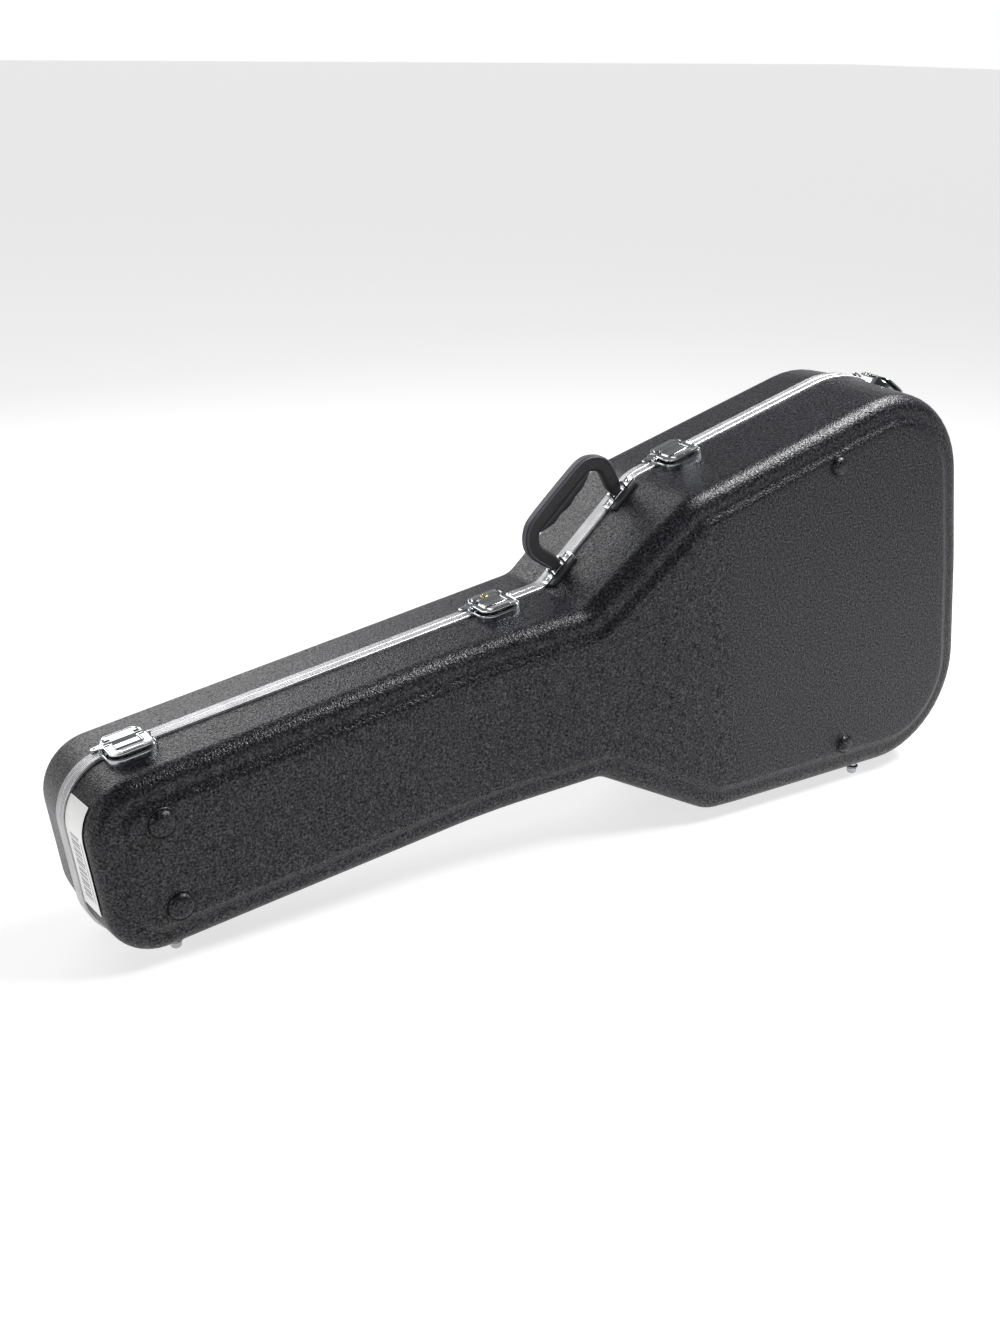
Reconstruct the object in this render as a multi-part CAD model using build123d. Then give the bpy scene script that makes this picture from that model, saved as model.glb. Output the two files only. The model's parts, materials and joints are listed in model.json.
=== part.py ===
from build123d import *
import os
from math import atan2, cos, degrees, hypot, radians, sin

# Hard guitar case: two moulded ABS shells with aluminium edge valances, three hinges,
# four draw latches (one with a key lock), a swinging carry handle, and a fitted lining.
#
# The case is modelled in its own case frame and then stood on its long side:
#   X = u, along the case from the neck end to the body end,
#   Y = depth, base shell at negative Y and lid shell at positive Y, parting plane at Y = 0,
#   Z = v, across the case, handle side positive.
# stand_on_studs() tips it onto its side studs, with the lowest point at Z = 0 and the box
# centred on the origin in X and Y.

os.makedirs("parts", exist_ok=True)

# ---------------------------------------------------------------- driving dimensions, mm
LENGTH = 1100.0            # neck end to the crown of the body end
NECK_END_HALF = 97.0       # half width at the neck end
NECK_ROOT_U = 562.0        # where the straight neck section ends
NECK_ROOT_HALF = 105.9
SHOULDER_U = 692.0         # where the flare meets the body
SHOULDER_HALF = 195.9
BODY_TAPER = 0.142         # growth of the half width along the body, mm per mm
END_BULGE = 5.0            # crown of the body end wall
NECK_END_RADIUS = 58.0
NECK_ROOT_RADIUS = 25.0
SHOULDER_RADIUS = 54.0
BODY_CORNER_RADIUS = 120.0
CROWN_RADIUS = 900.0

BASE_NECK_DEPTH = 70.0     # base shell depth over the neck
BASE_BODY_DEPTH = 110.0    # base shell depth over the body
RAMP_START_U = 425.0       # where the base starts to deepen
RAMP_END_U = 700.0
RAMP_BLEND = 700.0         # radius that softens both ends of the ramp
LID_DEPTH = 76.0
WALL = 3.5                 # moulded ABS wall
DRAFT = 3.0                # degrees
EDGE_RADIUS = 18.0         # rounded edge between side wall and face
PANEL_INSET = 33.0         # raised centre panel, from the outline
PANEL_RISE = 5.0
PARTING_GAP = 0.15         # each side of the parting plane
SIDES = (-1, 1)

VALANCE_HALF = 9.3         # width of each aluminium valance
VALANCE_PROUD = 2.0        # stands proud of the outline
RIB_PITCH = 2.7            # three fine ribs along each valance
RIB_DEPTH = 0.5

HINGE_U = (120.0, 730.0, 950.0)
HINGE_WIDTH = 40.0
LEAF_THICKNESS = 2.1
LEAF_GAP = 0.3             # each side of the parting plane
LEAF_WRAP = 1.5            # leaf over the valance
LEAF_REACH = 30.0
KNUCKLE_GAP = 0.15
KNUCKLE_RADIUS = 3.4
PIN_RADIUS = 1.5
RUNNING_GAP = 0.05         # radial clearance of every pin in its bore
AXIS_HEIGHT = 5.0          # hinge line above the floor

STUD_U = (70.0, 932.0)     # chrome studs that the case stands on
STUD_Y_BASE = (-34.0, -88.0)
STUD_Y_LID = (34.0, 56.0)
STUD_TIP = (-116.0, -243.0)
STUD_RADIUS = 6.0
STUD_LENGTH = 30.0         # long enough to reach into the shell wall
STUD_DOME = 3.0

# u of each latch on the handle side, or the angle of its normal on the rounded body corner
LATCH_PLACES = ((75.0, None), (492.0, None), (748.0, None), (None, 47.0))
LOCKED_LATCH = 2           # the one with the key lock
LATCH_HALF = 26.0

HANDLE_HALF = 54.0         # between the middle of the handle and each leg
HANDLE_HEIGHT = 70.0

FACE_FEET = ((72.0, 46.0, 13.5), (895.0, 176.0, 10.5))      # u, v and radius of each pair
FOOT_HEIGHT = 6.0
FOOT_ROOT = 2.0            # how far a foot reaches into the panel

LINER_GAP = 0.4            # between the lining and the shell
LINER_THICKNESS = 12.0
LINER_SETBACK = 1.0        # lining below the parting plane
OVERCUT = 5.0              # how far cutters pass beyond the face they open
BOUT_U = 700.0             # where the hollow for the guitar's body begins
BOUT_HALF = 225.0
BOUT_RADIUS = 90.0
BOUT_LENGTH = 500.0
CHANNEL_HALF = 50.0        # neck channel
CHANNEL_Y = -26.0
CHANNEL_U = (100.0, 720.0)
HEADSTOCK_U = (40.0, 262.0)
HEADSTOCK_HALF = 82.0
HEADSTOCK_Y = -46.0
HEADSTOCK_RADIUS = 24.0
CRADLE_U = (532.8, 600.0)  # block that holds the neck
CRADLE_Y = -39.6
SADDLE_RADIUS = 31.0
BOX_U = (292.0, 512.0)     # accessory box under the neck
BOX_HALF = 40.0
BOX_FLOOR_Y = -53.6
BOX_LID_Y = -30.0          # top of the box lid, below the parting plane
BOX_LID_THICKNESS = 3.0
BOX_WALL = 3.0
BOX_ROD_RADIUS = 0.8
SLEEVE_RADIUS = 1.5
EAR_WIDTH = 6.0
NOTCH_RADIUS = 9.0         # finger notch in the box lid

LABEL_V = (-26.0, 74.0)
LABEL_THICKNESS = 0.4


# ---------------------------------------------------------------- outlines
def corner_points():
    """Corners of the plan outline before rounding, clockwise from the neck end."""
    end_u = LENGTH - END_BULGE
    end_half = SHOULDER_HALF + (end_u - SHOULDER_U) * BODY_TAPER
    upper = [
        (0.0, NECK_END_HALF, NECK_END_RADIUS),
        (NECK_ROOT_U, NECK_ROOT_HALF, -NECK_ROOT_RADIUS),
        (SHOULDER_U, SHOULDER_HALF, SHOULDER_RADIUS),
        (end_u, end_half, BODY_CORNER_RADIUS),
        (LENGTH, 0.0, CROWN_RADIUS),
    ]
    lower = [(u, -v, r) for u, v, r in reversed(upper[:-1])]
    return upper + lower


def inset_corners(inset):
    """The corners moved inwards by inset, with radii that stay concentric where they can."""
    pts = corner_points()
    count = len(pts)
    moved = []
    for i, (u, v, radius) in enumerate(pts):
        before = pts[i - 1]
        after = pts[(i + 1) % count]
        n1 = inward(before, (u, v))
        n2 = inward((u, v), after)
        bisector = (n1[0] + n2[0], n1[1] + n2[1])
        scale = inset / (1.0 + n1[0] * n2[0] + n1[1] * n2[1])
        new_radius = max(radius - inset, 8.0) if radius > 0 else -radius + inset
        moved.append((u + bisector[0] * scale, v + bisector[1] * scale, new_radius))
    return moved


def inward(a, b):
    """Unit normal that points into the outline from the edge a to b."""
    du, dv = b[0] - a[0], b[1] - a[1]
    size = hypot(du, dv)
    return (dv / size, -du / size)


def outline_face(inset=0.0):
    pts = inset_corners(inset)
    wire = FilletPolyline(*[(u, v) for u, v, _ in pts], radius=[r for _, _, r in pts], close=True)
    return make_face(wire)


BASE_PLANE = Plane(origin=(0, -PARTING_GAP, 0), x_dir=(1, 0, 0), z_dir=(0, -1, 0))
LID_PLANE = Plane(origin=(0, PARTING_GAP, 0), x_dir=(1, 0, 0), z_dir=(0, 1, 0))


def slab(plane, inset, depth, taper=DRAFT):
    return extrude(plane * outline_face(inset), depth, taper=taper)


CUTTER_MARGIN = 60.0       # how far the ramp cutter passes the case at every side
CUTTER_HALF = 400.0


def ramp_cutter(neck_depth, body_depth):
    """Everything outside the base's depth profile, as one block."""
    near, far = -CUTTER_MARGIN, LENGTH + CUTTER_MARGIN
    deep = body_depth + CUTTER_MARGIN
    path = FilletPolyline(
        (near, -neck_depth), (RAMP_START_U, -neck_depth), (RAMP_END_U, -body_depth), (far, -body_depth),
        radius=RAMP_BLEND)
    rest = Polyline((far, -body_depth), (far, -deep), (near, -deep), (near, -neck_depth))
    side = Plane(origin=(0, 0, -CUTTER_HALF), x_dir=(1, 0, 0), z_dir=(0, 0, 1))
    return extrude(side * make_face(path.edges() + rest.edges()), 2 * CUTTER_HALF)


def face_edges(solid, top_faces):
    """The edges between the side walls and the face of a shell block."""
    picked = []
    for edge in solid.edges():
        middle = edge.position_at(0.5)
        across = abs(edge.tangent_at(0.5).Z) > 0.99 and 30.0 < middle.X < LENGTH - 60.0
        if top_faces(middle) and not across:
            picked.append(edge)
    return picked


def base_block(inset, neck_depth, body_depth, edge_radius):
    form = slab(BASE_PLANE, inset, body_depth - PARTING_GAP) - ramp_cutter(neck_depth, body_depth)
    rim = face_edges(form, lambda p: p.Y < -(neck_depth - 1.0))
    return fillet(rim, edge_radius)


def lid_block(inset, depth, edge_radius):
    form = slab(LID_PLANE, inset, depth - PARTING_GAP)
    return fillet(form.faces().sort_by(Axis.Y)[-1].edges(), edge_radius)


def base_outer(shrink=0.0):
    """The base's outer form, moved inwards by shrink on every side."""
    neck, body = BASE_NECK_DEPTH - shrink, BASE_BODY_DEPTH - shrink
    form = base_block(shrink, neck, body, EDGE_RADIUS - shrink)
    panel = slab(BASE_PLANE, PANEL_INSET + shrink, body + PANEL_RISE - PARTING_GAP, taper=0)
    return form + (panel - ramp_cutter(neck + PANEL_RISE, body + PANEL_RISE))


def lid_outer(shrink=0.0):
    depth = LID_DEPTH - shrink
    form = lid_block(shrink, depth, EDGE_RADIUS - shrink)
    return form + slab(LID_PLANE, PANEL_INSET + shrink, depth + PANEL_RISE - PARTING_GAP, taper=0)


# ---------------------------------------------------------------- places around the outline
def top_half(u):
    """Half width of the outline at u, on the straight stretches."""
    if u < NECK_ROOT_U:
        return NECK_END_HALF + (NECK_ROOT_HALF - NECK_END_HALF) * u / NECK_ROOT_U
    if u < SHOULDER_U:
        slope = (SHOULDER_HALF - NECK_ROOT_HALF) / (SHOULDER_U - NECK_ROOT_U)
        return NECK_ROOT_HALF + slope * (u - NECK_ROOT_U)
    return SHOULDER_HALF + (u - SHOULDER_U) * BODY_TAPER


def corner_centre():
    """Centre of the rounded body corner on the handle side."""
    u, v, radius = corner_points()[3]
    n1 = inward(corner_points()[2], (u, v))
    n2 = inward((u, v), corner_points()[4])
    scale = radius / (1.0 + n1[0] * n2[0] + n1[1] * n2[1])
    return u + (n1[0] + n2[0]) * scale, v + (n1[1] + n2[1]) * scale


def latch_plane(spot_on_edge):
    """Local frame on the valance: x along it, z outwards, y towards the lid."""
    u, corner_angle = spot_on_edge
    if corner_angle is None:
        a, b = (u - 1.0, top_half(u - 1.0)), (u + 1.0, top_half(u + 1.0))
        normal = inward(a, b)
        normal = (-normal[0], -normal[1])
        spot = (u, top_half(u))
    else:
        normal = (cos(radians(corner_angle)), sin(radians(corner_angle)))
        centre = corner_centre()
        spot = (centre[0] + normal[0] * BODY_CORNER_RADIUS, centre[1] + normal[1] * BODY_CORNER_RADIUS)
    origin = (spot[0] + normal[0] * VALANCE_PROUD, 0, spot[1] + normal[1] * VALANCE_PROUD)
    return Plane(origin=origin, x_dir=(normal[1], 0, -normal[0]), z_dir=(normal[0], 0, normal[1]))


def handle_plane():
    """Local frame at the middle of the flare: x along it, z outwards, y towards the lid."""
    angle = atan2(SHOULDER_HALF - NECK_ROOT_HALF, SHOULDER_U - NECK_ROOT_U)
    middle = ((NECK_ROOT_U + SHOULDER_U) / 2, (NECK_ROOT_HALF + SHOULDER_HALF) / 2)
    normal = (-sin(angle), cos(angle))
    origin = (middle[0] + normal[0] * VALANCE_PROUD, 0, middle[1] + normal[1] * VALANCE_PROUD)
    return Plane(origin=origin, x_dir=(cos(angle), 0, sin(angle)), z_dir=(normal[0], 0, normal[1]))


def block(x0, x1, y0, y1, z0, z1):
    return Pos((x0 + x1) / 2, (y0 + y1) / 2, (z0 + z1) / 2) * Box(x1 - x0, y1 - y0, z1 - z0)


def rod(x0, x1, y, z, radius):
    """Round bar along the local x."""
    return Pos((x0 + x1) / 2, y, z) * Rot(0, 90, 0) * Cylinder(radius, x1 - x0)


# ---------------------------------------------------------------- stance
def tilt_degrees():
    """Angle that brings the tips of both stud pairs to one level."""
    return degrees(atan2(STUD_TIP[0] - STUD_TIP[1], STUD_U[1] - STUD_U[0]))


def floor_v(u):
    """Height v of the floor line at u, in the case frame."""
    slope = (STUD_TIP[1] - STUD_TIP[0]) / (STUD_U[1] - STUD_U[0])
    return STUD_TIP[0] + (u - STUD_U[0]) * slope


TILT = tilt_degrees()
STAND = Rot(0, -TILT, 0)


def floor_plane(u, v, y=0.0):
    """Local frame that stands level once the case is on its studs: x along the floor, z up."""
    angle = radians(TILT)
    return Plane(origin=(u, y, v), x_dir=(cos(angle), 0, -sin(angle)), z_dir=(sin(angle), 0, cos(angle)))


# ---------------------------------------------------------------- shells, valances, lining
def make_shells(base_form, lid_form):
    base_shell = base_form - base_outer(WALL)
    lid_shell = lid_form - lid_outer(WALL)
    return base_shell, lid_shell


def valance(plane, form):
    """Aluminium edge strip around one shell, with three fine grooves."""
    depth = VALANCE_HALF - PARTING_GAP
    strip = slab(plane, -VALANCE_PROUD, depth, taper=0)
    for i in range(3):
        start = RIB_PITCH * (i + 0.55)
        groove_plane = plane.offset(start)
        groove = slab(groove_plane, -VALANCE_PROUD - 1.0, 1.0, taper=0)
        groove -= slab(groove_plane, -VALANCE_PROUD + RIB_DEPTH, 1.0, taper=0)
        strip -= groove
    return strip - form


def lining_top(y0, y1):
    """Block that trims a lining back from the parting plane."""
    return block(-CUTTER_MARGIN, LENGTH + CUTTER_MARGIN, y0, y1, -CUTTER_HALF, CUTTER_HALF)


def base_lining():
    """Foam block with the hollows for body, neck and headstock, and a well for the box."""
    form = base_outer(WALL + LINER_GAP) - lining_top(-LINER_SETBACK, OVERCUT)
    floor = BASE_BODY_DEPTH - WALL - LINER_GAP - LINER_THICKNESS
    body = slab(BASE_PLANE, WALL + LINER_GAP + LINER_THICKNESS, floor, taper=0)
    bout = RectangleRounded(BOUT_LENGTH, 2 * BOUT_HALF, BOUT_RADIUS)
    body = body & extrude(BASE_PLANE * (Pos(BOUT_U + BOUT_LENGTH / 2, 0) * bout), floor)
    channel = block(*CHANNEL_U, CHANNEL_Y, OVERCUT, -CHANNEL_HALF, CHANNEL_HALF)
    head = block(*HEADSTOCK_U, HEADSTOCK_Y, OVERCUT, -HEADSTOCK_HALF, HEADSTOCK_HALF)
    head = fillet(head.edges().filter_by(Axis.Y), HEADSTOCK_RADIUS)
    well_half = BOX_HALF + BOX_WALL + LINER_GAP
    well = block(BOX_U[0] - LINER_GAP, BOX_U[1] + LINER_GAP, BOX_FLOOR_Y - LINER_GAP, OVERCUT,
                 -well_half, well_half)
    pocket = block(CRADLE_U[0] - LINER_GAP, CRADLE_U[1] + LINER_GAP, CRADLE_Y - LINER_GAP, OVERCUT,
                   -CHANNEL_HALF, CHANNEL_HALF)
    return form - body - channel - head - well - pocket


def lid_lining():
    """Foam pad that lines the lid, hollowed to leave room for the guitar's top."""
    form = lid_outer(WALL + LINER_GAP) - lining_top(-OVERCUT, LINER_SETBACK)
    depth = LID_DEPTH - WALL - LINER_GAP - LINER_THICKNESS
    hollow = slab(LID_PLANE, WALL + LINER_GAP + LINER_THICKNESS, depth, taper=0)
    return form - hollow


def neck_cradle():
    """Padded block that holds the neck where it meets the body."""
    top = -2 * LINER_SETBACK
    half = CHANNEL_HALF - LINER_GAP
    saddle = rod(CRADLE_U[0] - OVERCUT, CRADLE_U[1] + OVERCUT, top, 0, SADDLE_RADIUS)
    return block(*CRADLE_U, CRADLE_Y, top, -half, half) - saddle


BOX_TOP_Y = BOX_LID_Y - BOX_LID_THICKNESS - LINER_GAP


def accessory_box():
    """Open tray for strings and picks, sunk in the lining under the neck."""
    outer = block(*BOX_U, BOX_FLOOR_Y, BOX_TOP_Y, -BOX_HALF - BOX_WALL, BOX_HALF + BOX_WALL)
    inner = block(BOX_U[0] + BOX_WALL, BOX_U[1] - BOX_WALL, BOX_FLOOR_Y + BOX_WALL, OVERCUT,
                  -BOX_HALF, BOX_HALF)
    return outer - inner


BOX_HINGE = (BOX_LID_Y - BOX_LID_THICKNESS / 2, -BOX_HALF + 0.5)      # y, v of the box lid's hinge line
SLEEVE_INSET = 20.0        # from the ends of the box
EAR_INSET = 10.0


def box_rod(x0, x1, radius):
    return rod(x0, x1, BOX_HINGE[0], BOX_HINGE[1], radius)


def accessory_lid():
    """Flap over the box, with its hinge sleeve along the lower edge and a finger notch."""
    hinge_y, hinge_v = BOX_HINGE
    u0, u1 = BOX_U[0] + SLEEVE_INSET, BOX_U[1] - SLEEVE_INSET
    flap = block(BOX_U[0] + BOX_WALL, BOX_U[1] - BOX_WALL, BOX_LID_Y - BOX_LID_THICKNESS, BOX_LID_Y,
                 hinge_v + 1.6 * SLEEVE_RADIUS, BOX_HALF)
    web_half = 0.6 * SLEEVE_RADIUS
    web = block(u0, u1, hinge_y - web_half, hinge_y + web_half, hinge_v, hinge_v + 2 * SLEEVE_RADIUS)
    notch = Rot(90, 0, 0) * Cylinder(NOTCH_RADIUS, 2 * BOX_LID_THICKNESS)
    notch = Pos((u0 + u1) / 2, hinge_y, BOX_HALF) * notch
    bore = box_rod(*BOX_U, BOX_ROD_RADIUS + RUNNING_GAP)
    return flap + box_rod(u0, u1, SLEEVE_RADIUS) + web - notch - bore


def accessory_hinge_rod():
    return box_rod(BOX_U[0] + 2 * BOX_WALL, BOX_U[1] - 2 * BOX_WALL, BOX_ROD_RADIUS)


def accessory_hinge_ears():
    """Two small ears on the box rim that carry the hinge rod."""
    ears = []
    for u in (BOX_U[0] + EAR_INSET, BOX_U[1] - EAR_INSET - EAR_WIDTH):
        ear = block(u, u + EAR_WIDTH, BOX_TOP_Y, BOX_LID_Y - 0.2, BOX_HINGE[1] - 1.6, BOX_HINGE[1] + 1.4)
        ears.append(ear - box_rod(u - 1.0, u + EAR_WIDTH + 1.0, BOX_ROD_RADIUS + RUNNING_GAP))
    return ears


# ---------------------------------------------------------------- hinges, studs and feet
def hinge_parts(skins):
    """Three hinges on one straight line along the floor side of the case."""
    base_leaves, lid_leaves, pins = [], [], []
    half, third = HINGE_WIDTH / 2, HINGE_WIDTH / 6
    foot = KNUCKLE_RADIUS + 0.4
    band = slab(BASE_PLANE.offset(-2 * VALANCE_HALF), -VALANCE_PROUD - LEAF_WRAP, 4 * VALANCE_HALF, taper=0)
    spans = {-1: ((-half, -third - KNUCKLE_GAP), (third + KNUCKLE_GAP, half)),
             1: ((-third + KNUCKLE_GAP, third - KNUCKLE_GAP),)}
    for u in HINGE_U:
        frame = floor_plane(u, floor_v(u) + AXIS_HEIGHT / cos(radians(TILT)))
        bore = rod(-half - 1, half + 1, 0, 0, PIN_RADIUS + RUNNING_GAP)
        for side, leaves in ((-1, base_leaves), (1, lid_leaves)):
            y0, y1 = sorted((side * LEAF_GAP, side * (LEAF_GAP + LEAF_THICKNESS)))
            f0, f1 = sorted((side * LEAF_GAP, side * (VALANCE_HALF - 1.0)))
            web = block(-half, half, y0, y1, foot, LEAF_REACH)
            flange = block(-half, half, f0, f1, foot, LEAF_REACH)
            leaf = frame * web + (band & (frame * flange))
            for x0, x1 in spans[side]:
                neck = block(x0, x1, y0, y1, 0, foot + 0.1)
                leaf += frame * (rod(x0, x1, 0, 0, KNUCKLE_RADIUS) + neck)
            leaves.append(largest(leaf - skins - frame * bore))
        pins.append(frame * rod(-half - 0.5, half + 0.5, 0, 0, PIN_RADIUS))
    return base_leaves, lid_leaves, pins


def largest(shape):
    return sorted(shape.solids(), key=lambda s: s.volume)[-1]


def studs(y_places, skins):
    """Chrome domed studs along the floor side of one shell."""
    made = []
    for u, y, tip in zip(STUD_U, y_places, STUD_TIP):
        stud = Pos(0, 0, STUD_LENGTH / 2) * Cylinder(STUD_RADIUS, STUD_LENGTH)
        stud = fillet(stud.faces().sort_by(Axis.Z)[0].edges(), STUD_DOME)
        made.append(largest(floor_plane(u, tip, y) * stud - skins))
    return made


def face_feet(base_form):
    """Four round moulded feet on the base shell's face."""
    feet = []
    height = FOOT_HEIGHT + FOOT_ROOT
    for (u, v, radius), depth in zip(FACE_FEET, (BASE_NECK_DEPTH, BASE_BODY_DEPTH)):
        middle = -(depth + PANEL_RISE + FOOT_HEIGHT) + height / 2
        for side in SIDES:
            foot = Pos(u, middle, -side * v) * Rot(90, 0, 0) * Cylinder(radius, height)
            foot = fillet(foot.faces().sort_by(Axis.Y)[0].edges(), FOOT_HEIGHT - FOOT_ROOT)
            feet.append(largest(foot - base_form))
    return feet


# ---------------------------------------------------------------- latches
LEVER_PIVOT = (-7.0, 4.6)      # y, z of the lever's pins in the latch frame
LEVER_PIN_RADIUS = 1.2
LEVER_WIDTH, LEVER_LENGTH = 44.4, 32.0
LEVER_ARM_X = (13.4, 22.2)     # inner and outer side of each arm
LEVER_Z = (2.8, 7.4)
HASP_PIVOT = (-16.0, 4.6)      # y, z of the hasp's pin
HASP_PIN_RADIUS = 1.0
HASP_ARM_HALF = 12.6
HASP_EYE_RADIUS = 2.1
HASP_PLATE_Z = (6.4, 8.2)
PLATE_THICKNESS = 1.2
PLATE_END_Y = -0.4             # both plates stop short of the parting plane
PLATE_EAR_X = (22.6, 25.0)
KEEPER_HALF = 11.0
RIVET_X, RIVET_Y = 19.0, -32.0
RIVET_RADIUS = 2.2
LOCK_Y = 4.0
LOCK_RADIUS = 4.2
FAR = 60.0                     # reach of the blocks that trim or bore a latch piece


def both_sides(x0, x1, y0, y1, z0, z1):
    """A block and its mirror image at the other end of the latch."""
    return block(x0, x1, y0, y1, z0, z1) + block(-x1, -x0, y0, y1, z0, z1)


def base_side(z0, z1):
    """Everything on the base's side of the parting plane, between two heights."""
    return block(-FAR, FAR, -FAR, PLATE_END_Y, z0, z1)


def latch_plate(skins, frame):
    """D-shaped plate riveted to the base valance, with two ears for the lever's pins."""
    sheet = extrude(RectangleRounded(2 * LATCH_HALF, 44.0, 16.0), 2 * PLATE_THICKNESS)
    sheet = Pos(0, -14.0, -PLATE_THICKNESS) * sheet
    under = Pos(0, -14.0, -7.0) * extrude(RectangleRounded(2 * LATCH_HALF - 4, 40.0, 14.0), 7.0)
    plate = (sheet + under) & base_side(-FAR, FAR)
    plate += both_sides(*PLATE_EAR_X, -10.0, -4.0, 0, 7.6)
    bore = rod(-FAR, FAR, *LEVER_PIVOT, LEVER_PIN_RADIUS + RUNNING_GAP)
    return largest(frame * (plate - bore) - skins)


def lever_pins(frame):
    """Two stub pins, one through each ear, so that the hasp passes between them."""
    inner, outer = LEVER_ARM_X[0] + 0.2, PLATE_EAR_X[1] + 0.6
    spans = (-outer, -inner), (inner, outer)
    return [frame * rod(x0, x1, *LEVER_PIVOT, LEVER_PIN_RADIUS) for x0, x1 in spans]


def latch_lever(frame):
    """Finger lever: two arms around the hasp, a finger edge with room below it."""
    z0, z1 = LEVER_Z
    plan = Pos(0, -19.0, z0) * RectangleRounded(LEVER_WIDTH, LEVER_LENGTH, 10.0)
    body = extrude(plan, z1 - z0) & block(-FAR, FAR, -FAR, -5.0, 0, FAR)
    body += both_sides(*LEVER_ARM_X, -10.0, -5.0, 2.4, 6.4)
    slot = block(-LEVER_ARM_X[0] + LINER_GAP, LEVER_ARM_X[0] - LINER_GAP, -19.8, OVERCUT, 0, FAR)
    bore = rod(-FAR, FAR, *LEVER_PIVOT, LEVER_PIN_RADIUS + RUNNING_GAP)
    return frame * (body - slot - bore) - hasp_pin(frame)


def hasp_pin(frame):
    return frame * rod(-18.0, 18.0, *HASP_PIVOT, HASP_PIN_RADIUS)


def latch_hasp(frame, locked):
    """Hasp plate: turns on its pin in the lever and lies over the catch."""
    half = HASP_ARM_HALF
    z0, z1 = HASP_PLATE_Z
    eye = rod(-half, half, *HASP_PIVOT, HASP_EYE_RADIUS)
    arm = block(-half, half, HASP_PIVOT[0], -3.0, 3.4, 6.0)
    riser = block(-half, half, -5.0, -1.0, 3.4, z1)
    plate = Pos(0, 3.0, z0) * extrude(RectangleRounded(40.0, 18.0, 7.0), z1 - z0)
    plate = plate & block(-FAR, FAR, -3.0, FAR, 0, FAR)
    solid = eye + arm + riser + plate - rod(-FAR, FAR, *HASP_PIVOT, HASP_PIN_RADIUS + RUNNING_GAP)
    if locked:
        solid -= Pos(0, LOCK_Y, 6.0) * Cylinder(LOCK_RADIUS + RUNNING_GAP, 8.0)
    return frame * solid


def latch_catch(skins, frame):
    """Catch plate riveted to the lid valance, under the hasp."""
    sheet = Pos(0, 7.0, -PLATE_THICKNESS) * extrude(RectangleRounded(46.0, 22.0, 9.0), 2 * PLATE_THICKNESS)
    keeper = block(-KEEPER_HALF, KEEPER_HALF, 4.0, 10.0, 0, 6.0)
    under = block(-21.0, 21.0, -PLATE_END_Y, 16.0, -6.0, 0)
    solid = (sheet + keeper + under) & block(-FAR, FAR, -PLATE_END_Y, FAR, -FAR, FAR)
    return largest(frame * solid - skins)


def rivet_head(spot, radius, height):
    """Domed head standing on the point spot of a local frame."""
    head = Pos(*spot) * Cylinder(radius, height, align=(Align.CENTER, Align.CENTER, Align.MIN))
    return fillet(head.faces().sort_by(Axis.Z)[-1].edges(), 0.6 * height)


def latch_rivets(frame):
    """Rivet heads of one base plate."""
    spots = [(side * RIVET_X, RIVET_Y, PLATE_THICKNESS) for side in SIDES]
    return [frame * rivet_head(spot, RIVET_RADIUS, 1.0) for spot in spots]


def lock_cylinder(frame):
    """Brass key cylinder in the hasp, with its key slot."""
    barrel = Pos(0, LOCK_Y, 6.6) * Cylinder(LOCK_RADIUS, 2.8, align=(Align.CENTER, Align.CENTER, Align.MIN))
    slot = Pos(0, LOCK_Y, 9.4) * Box(4.6, 1.0, 1.6)
    return frame * (barrel - slot)


# ---------------------------------------------------------------- carry handle
HANDLE_PIVOT_Z = 5.5
HANDLE_Y = -6.0            # the handle stands on the base's valance
HANDLE_PIN_RADIUS = 1.6
LEG_EYE = 7.0              # half width of the eye at each leg's end
LEG_EYE_RADIUS = 3.6
LEG_TOP_Z = 17.0           # where the eye's stem meets the bow
BOW_HALF = 8.5             # half the broad side of the bow's flat section
BOW_WIDTH = 11.0
BOW_EDGE_RADIUS = 4.0
BRACKET_THICKNESS = 1.4
BRACKET_EAR_X = (8.0, 10.8)
BRACKET_RIVET_X = 16.5
GRIP_HALF = 36.0
GRIP_DEPTH = 11.0
GRIP_WIDTH = 15.0


def handle_bracket(skins, frame, side):
    """Riveted chrome bracket with two ears for one leg of the handle."""
    x = side * HANDLE_HALF
    bracket = Pos(x, HANDLE_Y, 0) * extrude(RectangleRounded(44.0, 11.0, 4.0), BRACKET_THICKNESS)
    bracket += block(x - 20.0, x + 20.0, HANDLE_Y - 5.0, HANDLE_Y + 5.0, -8.0, 0.2)
    for s in SIDES:
        x0, x1 = sorted((x + s * BRACKET_EAR_X[0], x + s * BRACKET_EAR_X[1]))
        bracket += block(x0, x1, HANDLE_Y - 4.5, HANDLE_Y + 4.5, 0.5, 9.2)
    return largest(frame * (bracket - handle_bore(x)) - skins)


def handle_bore(x):
    return rod(x - 14, x + 14, HANDLE_Y, HANDLE_PIVOT_Z, HANDLE_PIN_RADIUS + RUNNING_GAP)


def handle_pad(skins, frame, side):
    """Black backing plate between one bracket and the base shell's wall."""
    pad = Pos(side * HANDLE_HALF, HANDLE_Y - 9.2, -6.0) * extrude(RectangleRounded(40.0, 7.0, 2.0), 6.8)
    return largest(frame * pad - skins)


def handle_pin(frame, side):
    x, reach = side * HANDLE_HALF, BRACKET_EAR_X[1] + 0.4
    return frame * rod(x - reach, x + reach, HANDLE_Y, HANDLE_PIVOT_Z, HANDLE_PIN_RADIUS)


def bracket_rivets(frame, side):
    x = side * HANDLE_HALF
    spots = [(x + s * BRACKET_RIVET_X, HANDLE_Y, BRACKET_THICKNESS) for s in SIDES]
    return [frame * rivet_head(spot, 2.6, 1.2) for spot in spots]


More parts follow.
